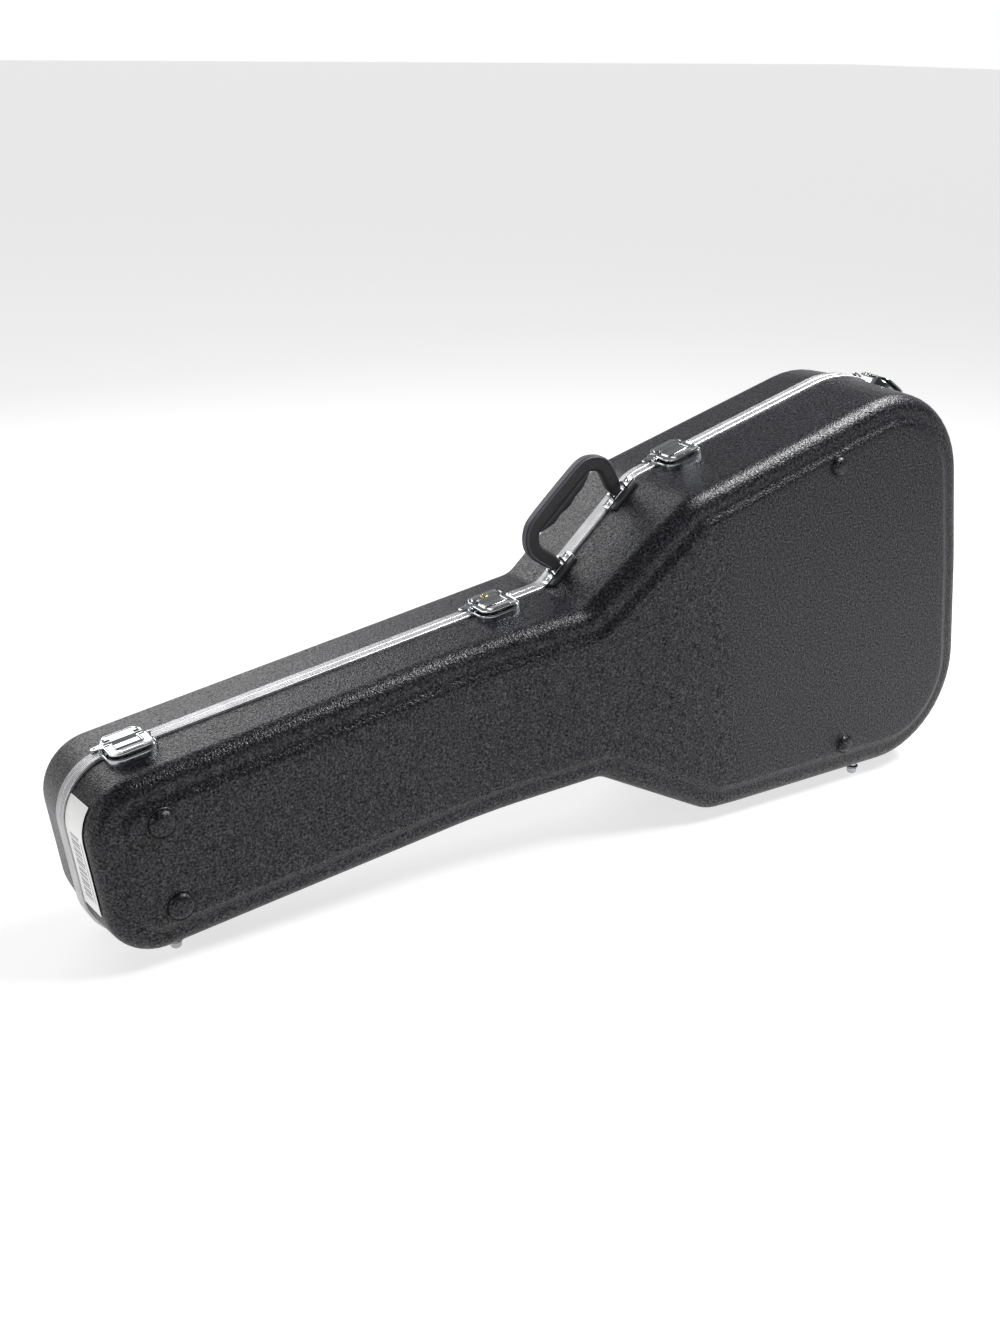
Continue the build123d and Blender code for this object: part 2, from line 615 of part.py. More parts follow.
def handle_path():
    """Centre line of the handle's bow."""
    w, h = HANDLE_HALF, HANDLE_HEIGHT - BOW_HALF
    return FilletPolyline(
        (-w, 0, LEG_TOP_Z), (-w - 6.0, 0, h - 24.0), (-w + 12.0, 0, h),
        (w - 12.0, 0, h), (w + 6.0, 0, h - 24.0), (w, 0, LEG_TOP_Z),
        radius=(12.0, 16.0, 16.0, 12.0))


def handle_frame_part(frame):
    """Moulded bow of the handle, with an eye at each end for the bracket's pin."""
    path = Plane(origin=(0, HANDLE_Y, 0)) * handle_path()
    section = RectangleRounded(2 * BOW_HALF, BOW_WIDTH, BOW_EDGE_RADIUS)
    section = Plane(origin=path.position_at(0), z_dir=path.tangent_at(0)) * section
    bow = sweep(section, path=path)
    for side in SIDES:
        x = side * HANDLE_HALF
        eye = rod(x - LEG_EYE, x + LEG_EYE, HANDLE_Y, HANDLE_PIVOT_Z, LEG_EYE_RADIUS)
        stem = block(x - LEG_EYE, x + LEG_EYE, HANDLE_Y - LEG_EYE_RADIUS, HANDLE_Y + LEG_EYE_RADIUS,
                     HANDLE_PIVOT_Z, LEG_TOP_Z + 2.0)
        bow = bow + eye + stem - handle_bore(x)
    return frame * bow


def handle_grip_part(frame, bow):
    """Soft moulded grip under the top of the bow, thicker in the middle."""
    top = HANDLE_HEIGHT - 2 * BOW_HALF - 1.0
    ends = (-GRIP_HALF, top), (GRIP_HALF, top)
    belly = [(x * GRIP_HALF, top - GRIP_DEPTH * d) for x, d in ((0.75, 0.64), (0.0, 1.0), (-0.75, 0.64))]
    outline = make_face(Polyline(*ends) + Spline(ends[1], *belly, ends[0]))
    side = Plane(origin=(0, HANDLE_Y + GRIP_WIDTH / 2, 0), x_dir=(1, 0, 0), z_dir=(0, -1, 0))
    return largest(frame * extrude(side * outline, GRIP_WIDTH) - bow)


# ---------------------------------------------------------------- trim
def end_label():
    """Plain sticker on the base shell's end wall."""
    skin = slab(BASE_PLANE, -LABEL_THICKNESS, BASE_NECK_DEPTH - EDGE_RADIUS)
    return skin & block(-OVERCUT, 12.0, -BASE_NECK_DEPTH, -VALANCE_HALF - 1.5, *LABEL_V)


# ---------------------------------------------------------------- assembly
def build_nodes():
    """Every node of the case in the case frame, as lists of separate solids."""
    base_form, lid_form = base_outer(), lid_outer()
    base_shell, lid_shell = make_shells(base_form, lid_form)
    base_strip = valance(BASE_PLANE, base_form)
    lid_strip = valance(LID_PLANE, lid_form)
    skins = base_form + lid_form + base_strip + lid_strip
    base_leaves, lid_leaves, pins = hinge_parts(skins)
    nodes = {
        "base_shell": [base_shell],
        "lid_shell": [lid_shell],
        "base_valance": [base_strip],
        "lid_valance": [lid_strip],
        "base_lining": [base_lining()],
        "lid_lining": [lid_lining()],
        "neck_cradle": [neck_cradle()],
        "accessory_box": [accessory_box()],
        "accessory_lid": [accessory_lid()],
        "accessory_hinge_rod": [accessory_hinge_rod()],
        "accessory_hinge_ears": accessory_hinge_ears(),
        "hinge_leaves_base": base_leaves,
        "hinge_leaves_lid": lid_leaves,
        "hinge_pins": pins,
        "side_studs_base": studs(STUD_Y_BASE, skins),
        "side_studs_lid": studs(STUD_Y_LID, skins),
        "face_feet": face_feet(base_form),
        "end_label": [end_label() - base_form],
    }
    rivets = []
    for number, spot_on_edge in enumerate(LATCH_PLACES, start=1):
        frame = latch_plane(spot_on_edge)
        name = f"latch_{number}"
        nodes[f"{name}_plate"] = [latch_plate(skins, frame)]
        nodes[f"{name}_lever"] = [latch_lever(frame)]
        nodes[f"{name}_hasp"] = [latch_hasp(frame, number == LOCKED_LATCH)]
        nodes[f"{name}_catch"] = [latch_catch(skins, frame)]
        nodes[f"{name}_lever_pins"] = lever_pins(frame)
        nodes[f"{name}_hasp_pin"] = [hasp_pin(frame)]
        rivets += latch_rivets(frame)
    nodes["latch_rivets"] = rivets
    nodes["lock_cylinder"] = [lock_cylinder(latch_plane(LATCH_PLACES[LOCKED_LATCH - 1]))]
    frame = handle_plane()
    bow = handle_frame_part(frame)
    nodes["handle_bow"] = [bow]
    nodes["handle_grip"] = [handle_grip_part(frame, bow)]
    nodes["handle_brackets"] = [handle_bracket(skins, frame, side) for side in SIDES]
    nodes["handle_pins"] = [handle_pin(frame, side) for side in SIDES]
    nodes["handle_rivets"] = [head for side in SIDES for head in bracket_rivets(frame, side)]
    nodes["handle_pads"] = [handle_pad(skins, frame, side) for side in SIDES]
    return nodes


def as_shape(solids):
    return solids[0] if len(solids) == 1 else Compound(children=solids)


def stand_on_studs(nodes):
    """Tip the case onto its studs and centre its box on the origin. Returns the move too."""
    tipped = {name: [STAND * solid for solid in solids] for name, solids in nodes.items()}
    boxes = [solid.bounding_box() for solids in tipped.values() for solid in solids]
    low = Vector(min(b.min.X for b in boxes), min(b.min.Y for b in boxes), min(b.min.Z for b in boxes))
    high = Vector(max(b.max.X for b in boxes), max(b.max.Y for b in boxes), low.Z)
    shift = (low + high) * -0.5
    moved = {name: [Pos(shift) * solid for solid in solids] for name, solids in tipped.items()}
    return moved, Pos(shift) * STAND


NODES, PLACE = stand_on_studs(build_nodes())

for node_name, node_solids in NODES.items():
    export_step(as_shape(node_solids), f"parts/{node_name}.step")
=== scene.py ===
import json
import bmesh
import bpy
from math import atan, atan2, cos, hypot, pi, radians, sin, tan
from mathutils import Matrix, Vector
from mathutils.geometry import delaunay_2d_cdt


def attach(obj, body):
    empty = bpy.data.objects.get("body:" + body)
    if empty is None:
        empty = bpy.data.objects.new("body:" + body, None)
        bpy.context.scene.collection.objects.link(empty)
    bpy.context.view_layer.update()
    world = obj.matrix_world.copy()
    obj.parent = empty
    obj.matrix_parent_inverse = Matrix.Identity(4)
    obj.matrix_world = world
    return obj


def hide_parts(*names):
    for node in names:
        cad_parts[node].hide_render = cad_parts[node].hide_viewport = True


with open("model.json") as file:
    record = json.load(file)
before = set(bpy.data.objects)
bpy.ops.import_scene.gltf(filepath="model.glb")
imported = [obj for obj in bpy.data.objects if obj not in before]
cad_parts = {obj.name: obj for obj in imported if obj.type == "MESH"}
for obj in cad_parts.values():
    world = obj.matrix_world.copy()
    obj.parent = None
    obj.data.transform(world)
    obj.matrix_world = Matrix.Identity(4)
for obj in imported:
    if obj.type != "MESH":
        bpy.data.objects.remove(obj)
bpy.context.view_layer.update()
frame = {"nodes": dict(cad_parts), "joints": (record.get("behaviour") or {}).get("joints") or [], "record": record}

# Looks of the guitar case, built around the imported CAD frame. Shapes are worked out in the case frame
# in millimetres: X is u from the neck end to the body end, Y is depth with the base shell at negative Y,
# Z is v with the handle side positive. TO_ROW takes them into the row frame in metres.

MM = 0.001

# ------------------------------------------------------------------ sizes of the case, mm
LENGTH = 1100.0
NECK_END_HALF = 97.0
NECK_ROOT_U, NECK_ROOT_HALF = 562.0, 105.9
SHOULDER_U, SHOULDER_HALF = 692.0, 195.9
BODY_TAPER = 0.142
END_BULGE = 5.0
NECK_END_RADIUS = 58.0
NECK_ROOT_RADIUS = 25.0
SHOULDER_RADIUS = 54.0
BODY_CORNER_RADIUS = 120.0
CROWN_RADIUS = 900.0
EDGE_STEP = 9.0            # about the length of one segment on the straight runs
BASE_NECK_DEPTH, BASE_BODY_DEPTH = 70.0, 110.0
RAMP_START_U, RAMP_END_U, RAMP_BLEND = 425.0, 700.0, 700.0
LID_DEPTH = 76.0
WALL = 3.5
DRAFT = tan(radians(3.0))
EDGE_RADIUS = 18.0
PANEL_INSET = 33.0
PANEL_RISE = 5.0
PARTING_GAP = 0.15
VALANCE_HALF = 9.3
VALANCE_PROUD = 2.0
FACE_FEET = ((72.0, 46.0, 1.0), (895.0, 176.0, 0.78))     # u, v and size of each pair
LATCHES = (1, 2, 3, 4)
LOCKED_LATCH = 2
HANDLE_HALF = 54.0
LEVER_PIVOT = (-7.0, 4.6)
HASP_PIVOT = (-16.0, 4.6)
HANDLE_Y = -6.0
HANDLE_PIVOT_Z = 5.5
FLAP_HINGE_CASE = Vector((402.0, -31.5, -39.5))     # middle of the accessory flap's hinge line

JOINTS = {joint["name"]: joint for joint in frame["joints"]}


# ------------------------------------------------------------------ frames
def case_matrix():
    """Case frame in millimetres to row frame in metres, from the accessory flap's joint."""
    joint = JOINTS["accessory_flap_hinge"]
    along = -Vector(joint["axis"])
    across = Vector((-along.z, 0.0, along.x))
    turn = Matrix((along, (0, 1, 0), across)).transposed() * MM
    return Matrix.Translation(Vector(joint["pos_m"]) - turn @ FLAP_HINGE_CASE) @ turn.to_4x4()


def joint_matrix(name, sign, local):
    """Local frame whose x runs along a joint's axis and whose point local lies on the joint."""
    joint = JOINTS[name]
    x_dir = Vector(joint["axis"]) * sign
    z_dir = Vector((-x_dir.z, 0.0, x_dir.x))
    turn = Matrix((x_dir, (0, 1, 0), z_dir)).transposed() * MM
    return Matrix.Translation(Vector(joint["pos_m"]) - turn @ Vector(local)) @ turn.to_4x4()


TO_ROW = case_matrix()


def latch_matrix(number):
    return joint_matrix(f"latch_{number}_lever_pivot", -1.0, (0.0, *LEVER_PIVOT))


def handle_matrix():
    return joint_matrix("handle_swing", 1.0, (0.0, HANDLE_Y, HANDLE_PIVOT_Z))


# ------------------------------------------------------------------ material helpers
def new_material(name):
    material = bpy.data.materials.new(name)
    material.use_nodes = True
    return material, material.node_tree.nodes, material.node_tree.links


def shader_of(nodes):
    return nodes["Principled BSDF"]


def object_coords(nodes):
    return nodes.new("ShaderNodeTexCoord").outputs["Object"]


def noise(nodes, links, coords, scale, detail=2.0, roughness=0.5):
    node = nodes.new("ShaderNodeTexNoise")
    node.inputs["Scale"].default_value = scale
    node.inputs["Detail"].default_value = detail
    node.inputs["Roughness"].default_value = roughness
    links.new(coords, node.inputs["Vector"])
    return node.outputs["Fac"]


def ramp(nodes, links, value, stops):
    node = nodes.new("ShaderNodeValToRGB")
    elements = node.color_ramp.elements
    while len(elements) < len(stops):
        elements.new(0.5)
    for element, (place, colour) in zip(elements, stops):
        element.position = place
        element.color = (*colour, 1.0) if len(colour) == 3 else colour
    links.new(value, node.inputs["Fac"])
    return node.outputs["Color"]


def spread(nodes, links, value, low, high):
    """Maps 0..1 noise to low..high."""
    node = nodes.new("ShaderNodeMapRange")
    node.inputs["From Min"].default_value = 0.3
    node.inputs["From Max"].default_value = 0.7
    node.inputs["To Min"].default_value = low
    node.inputs["To Max"].default_value = high
    links.new(value, node.inputs["Value"])
    return node.outputs["Result"]


def math_node(nodes, links, operation, a, b):
    node = nodes.new("ShaderNodeMath")
    node.operation = operation
    for socket, value in zip(node.inputs, (a, b)):
        if isinstance(value, (int, float)):
            socket.default_value = value
        else:
            links.new(value, socket)
    return node.outputs[0]


def bump(nodes, links, height, strength, distance, under=None):
    node = nodes.new("ShaderNodeBump")
    node.inputs["Strength"].default_value = strength
    node.inputs["Distance"].default_value = distance
    links.new(height, node.inputs["Height"])
    if under is not None:
        links.new(under, node.inputs["Normal"])
    return node.outputs["Normal"]


def moulded_abs(name, grain_scale=540.0, depth=0.00045):
    """Charcoal ABS with a haircell grain: pebbles about 2 mm across that catch the light singly, with painted
    glints in the lightest base-colour flecks.
    """
    material, nodes, links = new_material(name)
    coords = object_coords(nodes)
    shader = shader_of(nodes)
    pebble = nodes.new("ShaderNodeTexVoronoi")
    pebble.feature = "SMOOTH_F1"
    pebble.inputs["Scale"].default_value = grain_scale
    pebble.inputs["Smoothness"].default_value = 0.5
    links.new(coords, pebble.inputs["Vector"])
    fine = noise(nodes, links, coords, grain_scale * 1.9, 3.0, 0.6)
    grain = noise(nodes, links, coords, grain_scale * 0.8, 2.0, 0.7)
    broad = noise(nodes, links, coords, 7.0, 3.0)
    # Base colour flecks: random grain tone, and the lightest flecks are painted glints where pebbles catch the
    # light.
    grain_tone_and_painted_glints = ramp(nodes, links, grain, [(0.34, (0.0010, 0.0010, 0.0018)), (0.5, (0.0030, 0.0030, 0.0050)),
                                        (0.6, (0.010, 0.010, 0.015)), (0.72, (0.045, 0.045, 0.056))])
    cloud = ramp(nodes, links, broad, [(0.3, (0.86,) * 3), (0.7, (1.0,) * 3)])
    mix = nodes.new("ShaderNodeMix")
    mix.data_type = "RGBA"
    mix.blend_type = "MULTIPLY"
    mix.inputs["Factor"].default_value = 1.0
    links.new(grain_tone_and_painted_glints, mix.inputs["A"])
    links.new(cloud, mix.inputs["B"])
    links.new(mix.outputs["Result"], shader.inputs["Base Color"])
    links.new(spread(nodes, links, fine, 0.30, 0.46), shader.inputs["Roughness"])
    links.new(spread(nodes, links, grain, 0.02, 0.70), shader.inputs["Specular IOR Level"])
    height = math_node(nodes, links, "ADD", math_node(nodes, links, "MULTIPLY", grain, 1.2),
                       math_node(nodes, links, "MULTIPLY", pebble.outputs["Distance"], -1.0))
    links.new(bump(nodes, links, height, 0.8, depth), shader.inputs["Normal"])
    return material


def chrome(name, colour=(0.46, 0.47, 0.49), rough=(0.07, 0.2)):
    """Plated steel: mirror bright, with faint rub marks and a slight unevenness."""
    material, nodes, links = new_material(name)
    coords = object_coords(nodes)
    shader = shader_of(nodes)
    shader.inputs["Metallic"].default_value = 1.0
    wear = noise(nodes, links, coords, 260.0, 4.0, 0.65)
    links.new(ramp(nodes, links, wear, [(0.35, tuple(0.9 * c for c in colour)), (0.6, colour)]),
              shader.inputs["Base Color"])
    links.new(spread(nodes, links, wear, *rough), shader.inputs["Roughness"])
    links.new(bump(nodes, links, noise(nodes, links, coords, 90.0, 2.0), 0.06, 0.0002),
              shader.inputs["Normal"])
    return material


def aluminium(name):
    """Extruded aluminium, anodised bright: a fine grain in roughness and bump over a gentle variation in tone."""
    material, nodes, links = new_material(name)
    coords = object_coords(nodes)
    shader = shader_of(nodes)
    shader.inputs["Metallic"].default_value = 1.0
    grain = noise(nodes, links, coords, 750.0, 3.0, 0.6)
    links.new(ramp(nodes, links, noise(nodes, links, coords, 30.0, 3.0),
                   [(0.35, (0.52, 0.52, 0.53)), (0.65, (0.62, 0.62, 0.63))]), shader.inputs["Base Color"])
    links.new(spread(nodes, links, grain, 0.42, 0.55), shader.inputs["Roughness"])
    links.new(bump(nodes, links, grain, 0.15, 0.0001), shader.inputs["Normal"])
    return material


def leathered_black(name, shade=0.012, scale=520.0, depth=0.0003, rough=(0.42, 0.6)):
    """Black moulding with a leather grain, for the handle."""
    material, nodes, links = new_material(name)
    coords = object_coords(nodes)
    shader = shader_of(nodes)
    cells = nodes.new("ShaderNodeTexVoronoi")
    cells.feature = "DISTANCE_TO_EDGE"
    cells.inputs["Scale"].default_value = scale
    links.new(coords, cells.inputs["Vector"])
    fine = noise(nodes, links, coords, scale * 2.0, 3.0)
    crease = ramp(nodes, links, cells.outputs["Distance"], [(0.0, (0.0,) * 3), (0.14, (1.0,) * 3)])
    height = math_node(nodes, links, "ADD", crease, math_node(nodes, links, "MULTIPLY", fine, 0.4))
    tint = (shade, shade, shade * 1.15)
    links.new(ramp(nodes, links, fine, [(0.35, tuple(0.75 * c for c in tint)), (0.65, tint)]),
              shader.inputs["Base Color"])
    links.new(spread(nodes, links, fine, *rough), shader.inputs["Roughness"])
    links.new(bump(nodes, links, height, 0.7, depth), shader.inputs["Normal"])
    return material


def plush(name, colour=(0.012, 0.012, 0.015)):
    """Short-pile plush: tufts of slightly different tone with a soft sheen."""
    material, nodes, links = new_material(name)
    coords = object_coords(nodes)
    shader = shader_of(nodes)
    pile = noise(nodes, links, coords, 900.0, 4.0, 0.7)
    nap = noise(nodes, links, coords, 45.0, 3.0, 0.6)
    tone = math_node(nodes, links, "ADD", math_node(nodes, links, "MULTIPLY", pile, 0.6),
                     math_node(nodes, links, "MULTIPLY", nap, 0.4))
    links.new(ramp(nodes, links, tone, [(0.3, tuple(0.5 * c for c in colour)),
                                        (0.7, tuple(2.2 * c for c in colour))]),
              shader.inputs["Base Color"])
    shader.inputs["Roughness"].default_value = 0.95
    shader.inputs["Sheen Weight"].default_value = 0.5
    shader.inputs["Sheen Roughness"].default_value = 0.4
    links.new(bump(nodes, links, pile, 0.8, 0.0008, bump(nodes, links, nap, 0.4, 0.003)),
              shader.inputs["Normal"])
    return material


def rubber(name, shade=0.014):
    material, nodes, links = new_material(name)
    coords = object_coords(nodes)
    shader = shader_of(nodes)
    fine = noise(nodes, links, coords, 600.0, 3.0)
    links.new(ramp(nodes, links, fine, [(0.3, (shade * 0.8, shade * 0.8, shade)),
                                        (0.7, (shade * 1.3, shade * 1.3, shade * 1.6))]),
              shader.inputs["Base Color"])
    links.new(spread(nodes, links, fine, 0.45, 0.62), shader.inputs["Roughness"])
    links.new(bump(nodes, links, fine, 0.3, 0.0002), shader.inputs["Normal"])
    return material


def paper(name, colour):
    material, nodes, links = new_material(name)
    coords = object_coords(nodes)
    shader = shader_of(nodes)
    fibre = noise(nodes, links, coords, 800.0, 4.0, 0.7)
    links.new(ramp(nodes, links, fibre, [(0.3, tuple(0.93 * c for c in colour)), (0.7, colour)]),
              shader.inputs["Base Color"])
    links.new(spread(nodes, links, fibre, 0.35, 0.5), shader.inputs["Roughness"])
    links.new(bump(nodes, links, fibre, 0.1, 0.0001), shader.inputs["Normal"])
    return material


ABS = moulded_abs("abs_haircell")
ALUMINIUM = aluminium("valance_aluminium")
CHROME = chrome("chrome")
STEEL = chrome("pin_steel", (0.55, 0.56, 0.58), (0.2, 0.35))
BRASS = chrome("lock_brass", (0.80, 0.58, 0.25), (0.12, 0.25))
BOW_BLACK = leathered_black("handle_plastic", 0.008, rough=(0.5, 0.68))
GRIP_BLACK = rubber("handle_grip_rubber", 0.012)
# Piping and outer face strip, lighter than the bow: partly the piping's own tone, partly a painted highlight along
# the bow's outer face.
PIPING_AND_PAINTED_SHEEN = rubber("handle_piping_and_painted_sheen", 0.04)
# Black moulding for the real black parts; the same material paints shade into the latch wells, the hasp slots, the
# keyway and the catch tab's hole.
BLACK_AND_PAINTED_SHADE = rubber("moulded_black", 0.010)
FOOT_BLACK = moulded_abs("abs_foot", 520.0, 0.0003)
PLUSH = plush("plush_lining")
LABEL_WHITE = paper("label_white", (0.86, 0.86, 0.85))
LABEL_GREY = paper("label_grey", (0.22, 0.22, 0.24))


# ------------------------------------------------------------------ mesh helpers
def make_object(name, points, faces, matrix, material, sharp=40.0):
    """Mesh object from local points and faces, with its normals turned outwards."""
    mesh = bpy.data.meshes.new(name)
    mesh.from_pydata([matrix @ Vector(p) for p in points], [], faces)
    mesh.materials.append(material)
    work = bmesh.new()
    work.from_mesh(mesh)
    bmesh.ops.remove_doubles(work, verts=work.verts, dist=1e-6)
    bmesh.ops.recalc_face_normals(work, faces=work.faces)
    work.to_mesh(mesh)
    work.free()
    mesh.polygons.foreach_set("use_smooth", [True] * len(mesh.polygons))
    mesh.set_sharp_from_angle(angle=radians(sharp))
    piece = bpy.data.objects.new(name, mesh)
    bpy.context.scene.collection.objects.link(piece)
    return piece


def apply_modifiers(piece):
    bpy.context.view_layer.update()
    graph = bpy.context.evaluated_depsgraph_get()
    mesh = bpy.data.meshes.new_from_object(piece.evaluated_get(graph))
    piece.modifiers.clear()
    piece.data = mesh


def bridge(rings, closed=True):
    """Quads between neighbouring rings of equal length. Point index is ring * size + place."""
    size = len(rings[0])
    faces = []
    for row in range(len(rings) - 1):
        for i in range(size if closed else size - 1):
            j = (i + 1) % size
            faces.append((row * size + i, row * size + j, (row + 1) * size + j, (row + 1) * size + i))
    return faces


def flat(rings):
    return [point for ring in rings for point in ring]


ARC_STEPS = 14


def moved_corners(corners, inset):
    """Corners (x, y, radius) of a clockwise outline moved inwards by inset; a negative radius marks a
    concave corner. Each radius stays concentric where it can."""
    moved = []
    for i, (x, y, radius) in enumerate(corners):
        n1 = inward(corners[i - 1], (x, y))
        n2 = inward((x, y), corners[(i + 1) % len(corners)])
        scale = inset / (1.0 + n1[0] * n2[0] + n1[1] * n2[1])
        new_radius = max(radius - inset, min(8.0, radius / 2)) if radius > 0 else max(-radius + inset, 0.2)
        moved.append((x + (n1[0] + n2[0]) * scale, y + (n1[1] + n2[1]) * scale, new_radius))
    return moved


def inward(a, b):
    du, dv = b[0] - a[0], b[1] - a[1]
    size = hypot(du, dv)
    return (dv / size, -du / size)


def ring_of(corners, inset, segment, arc_steps=ARC_STEPS):
    """Closed ring of points at an inset, with the same number of points at every inset. segment is
    about the length of one step on the straight runs."""
    count = len(corners)
    moved = moved_corners(corners, inset)
    arcs = []
    for i, (x, y, radius) in enumerate(moved):
        here = Vector((x, y))
        before = (Vector(moved[i - 1][:2]) - here).normalized()
        after = (Vector(moved[(i + 1) % count][:2]) - here).normalized()
        half = before.angle(after) / 2
        centre = here + (before + after).normalized() * (radius / sin(half))
        start = here + before * (radius / tan(half)) - centre
        end = here + after * (radius / tan(half)) - centre
        turn = atan2(start.x * end.y - start.y * end.x, start.dot(end))
        arc = []
        for k in range(arc_steps + 1):
            a = turn * k / arc_steps
            arc.append((centre.x + start.x * cos(a) - start.y * sin(a),
                        centre.y + start.x * sin(a) + start.y * cos(a)))
        arcs.append(arc)
    ring = []
    for i, arc in enumerate(arcs):
        ring += arc
        a, b = arc[-1], arcs[(i + 1) % count][0]
        whole = hypot(corners[(i + 1) % count][0] - corners[i][0],
                      corners[(i + 1) % count][1] - corners[i][1])
        steps = max(3, round(whole / segment))
        ring += [(a[0] + (b[0] - a[0]) * k / steps,
                  a[1] + (b[1] - a[1]) * k / steps) for k in range(1, steps)]
    return ring


def inside(spot, border):
    odd = False
    for i, a in enumerate(border):
        b = border[i - 1]
        if (a.y > spot.y) != (b.y > spot.y) and spot.x < (b.x - a.x) * (spot.y - a.y) / (b.y - a.y) + a.x:
            odd = not odd
    return odd


def filled(points, first, border, height, spacing):
    """Faces that close a ring whose points start at index first; points inside it are added to the
    list at height(x, y), in (x, y, z) order."""
    border = [Vector(p) for p in border]
    grid = []
    low = [min(p[i] for p in border) for i in (0, 1)]
    high = [max(p[i] for p in border) for i in (0, 1)]
    x = low[0] + spacing
    while x < high[0]:
        y = low[1] + spacing
        while y < high[1]:
            spot = Vector((x, y))
            if inside(spot, border) and min((spot - b).length for b in border) > spacing * 0.6:
                grid.append(spot)
            y += spacing
        x += spacing
    edges = [(i, (i + 1) % len(border)) for i in range(len(border))]
    flat_points, _, triangles, origins, _, _ = delaunay_2d_cdt(border + grid, edges, [], 1, 1e-6)
    index = []
    for k, point in enumerate(flat_points):
        source = origins[k][0] if origins[k] else len(border)
        if source < len(border):
            index.append(first + source)
        else:
            index.append(len(points))
            points.append(height(point.x, point.y))
    return [tuple(index[i] for i in triangle) for triangle in triangles]


def formed(name, corners, rows, matrix, material, lift=None, segment=2.5, spacing=3.0, sharp=35.0,
           arc_steps=8):
    """Pressed plate from a clockwise outline: rows of (inset, z) from the underside to the middle of
    the top. lift(x, y) raises the whole plate locally."""
    lift = lift or (lambda x, y: 0.0)
    rings = []
    for inset, z in rows:
        rings.append([(x, y, z + lift(x, y)) for x, y in ring_of(corners, inset, segment, arc_steps)])
    points = flat(rings)
    faces = bridge(rings)
    size = len(rings[0])
    faces += filled(points, (len(rings) - 1) * size, [p[:2] for p in rings[-1]],
                    lambda x, y: (x, y, rows[-1][1] + lift(x, y)), spacing)
    faces += filled(points, 0, [p[:2] for p in rings[0]], lambda x, y: (x, y, rows[0][1] + lift(x, y)),
                    spacing * 2)
    return make_object(name, points, faces, matrix, material, sharp)


def lathe(profile, matrix, name, material, steps=32, sharp=40.0):
    """Turned piece about the local z: profile is (radius, z) from the bottom to the top."""
    rings = [[(r * cos(2 * pi * k / steps), r * sin(2 * pi * k / steps), z) for k in range(steps)]
             for r, z in profile]
    faces = bridge(rings)
    faces.append(tuple(range((len(rings) - 1) * steps, len(rings) * steps)))
    faces.append(tuple(reversed(range(steps))))
    return make_object(name, flat(rings), faces, matrix, material, sharp)


def join(name, pieces):
    """One object from several, keeping their materials."""
    bpy.ops.object.select_all(action="DESELECT")
    for piece in pieces:
        piece.select_set(True)
    bpy.context.view_layer.objects.active = pieces[0]
    bpy.ops.object.join()
    pieces[0].name = name
    pieces[0].data.name = name
    return pieces[0]


def place(piece, body, slot, *nodes):
    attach(piece, body)
    if nodes:
        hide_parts(*nodes)
    return piece


# ------------------------------------------------------------------ outline of the case
def corner_points():
    end_u = LENGTH - END_BULGE
    end_half = SHOULDER_HALF + (end_u - SHOULDER_U) * BODY_TAPER
    upper = [
        (0.0, NECK_END_HALF, NECK_END_RADIUS),
        (NECK_ROOT_U, NECK_ROOT_HALF, -NECK_ROOT_RADIUS),
        (SHOULDER_U, SHOULDER_HALF, SHOULDER_RADIUS),
        (end_u, end_half, BODY_CORNER_RADIUS),
        (LENGTH, 0.0, CROWN_RADIUS),
    ]
    return upper + [(u, -v, r) for u, v, r in reversed(upper[:-1])]


def outline_ring(inset):
    return ring_of(corner_points(), inset, EDGE_STEP)


def ease(t):
    t = min(max(t, 0.0), 1.0)
    return t * t * (3 - 2 * t)


def base_depth(u):
    """Depth of the base's rim: shallow over the neck, deep over the body, with blended bends."""
    slope = (BASE_BODY_DEPTH - BASE_NECK_DEPTH) / (RAMP_END_U - RAMP_START_U)
    blend = RAMP_BLEND * tan(atan(slope) / 2)

    def bent(x):
        if x < -blend:
            return 0.0
        return x if x > blend else (x + blend) ** 2 / (4 * blend)

    return BASE_NECK_DEPTH + slope * (bent(u - RAMP_START_U) - bent(u - RAMP_END_U))


def lid_depth(u):
    return LID_DEPTH


# ------------------------------------------------------------------ shells
STEP_WIDTH = 13.0          # width of the soft step up to the raised panel
STEP_ROWS = 10
PANEL_GRID = 14.0          # spacing of the points inside the panel


def shell_rows(depth):
    """(inset, w) of each row of a shell's outer surface, as functions of u."""
    rows = []
    for k in range(8):
        s = k / 7
        rows.append(lambda u, s=s: (DRAFT * s * (depth(u) - EDGE_RADIUS),
                                    PARTING_GAP + s * (depth(u) - EDGE_RADIUS)))
    for k in range(1, 13):
        a = pi / 2 * k / 12
        rows.append(lambda u, a=a: (DRAFT * (depth(u) - EDGE_RADIUS) + EDGE_RADIUS * (1 - cos(a)),
                                    depth(u) - EDGE_RADIUS * (1 - sin(a))))
    start = PANEL_INSET - STEP_WIDTH / 2
    for k in range(STEP_ROWS + 1):
        t = k / STEP_ROWS
        rows.append(lambda u, t=t: (start + STEP_WIDTH * t, depth(u) + PANEL_RISE * ease(t)))
    return rows


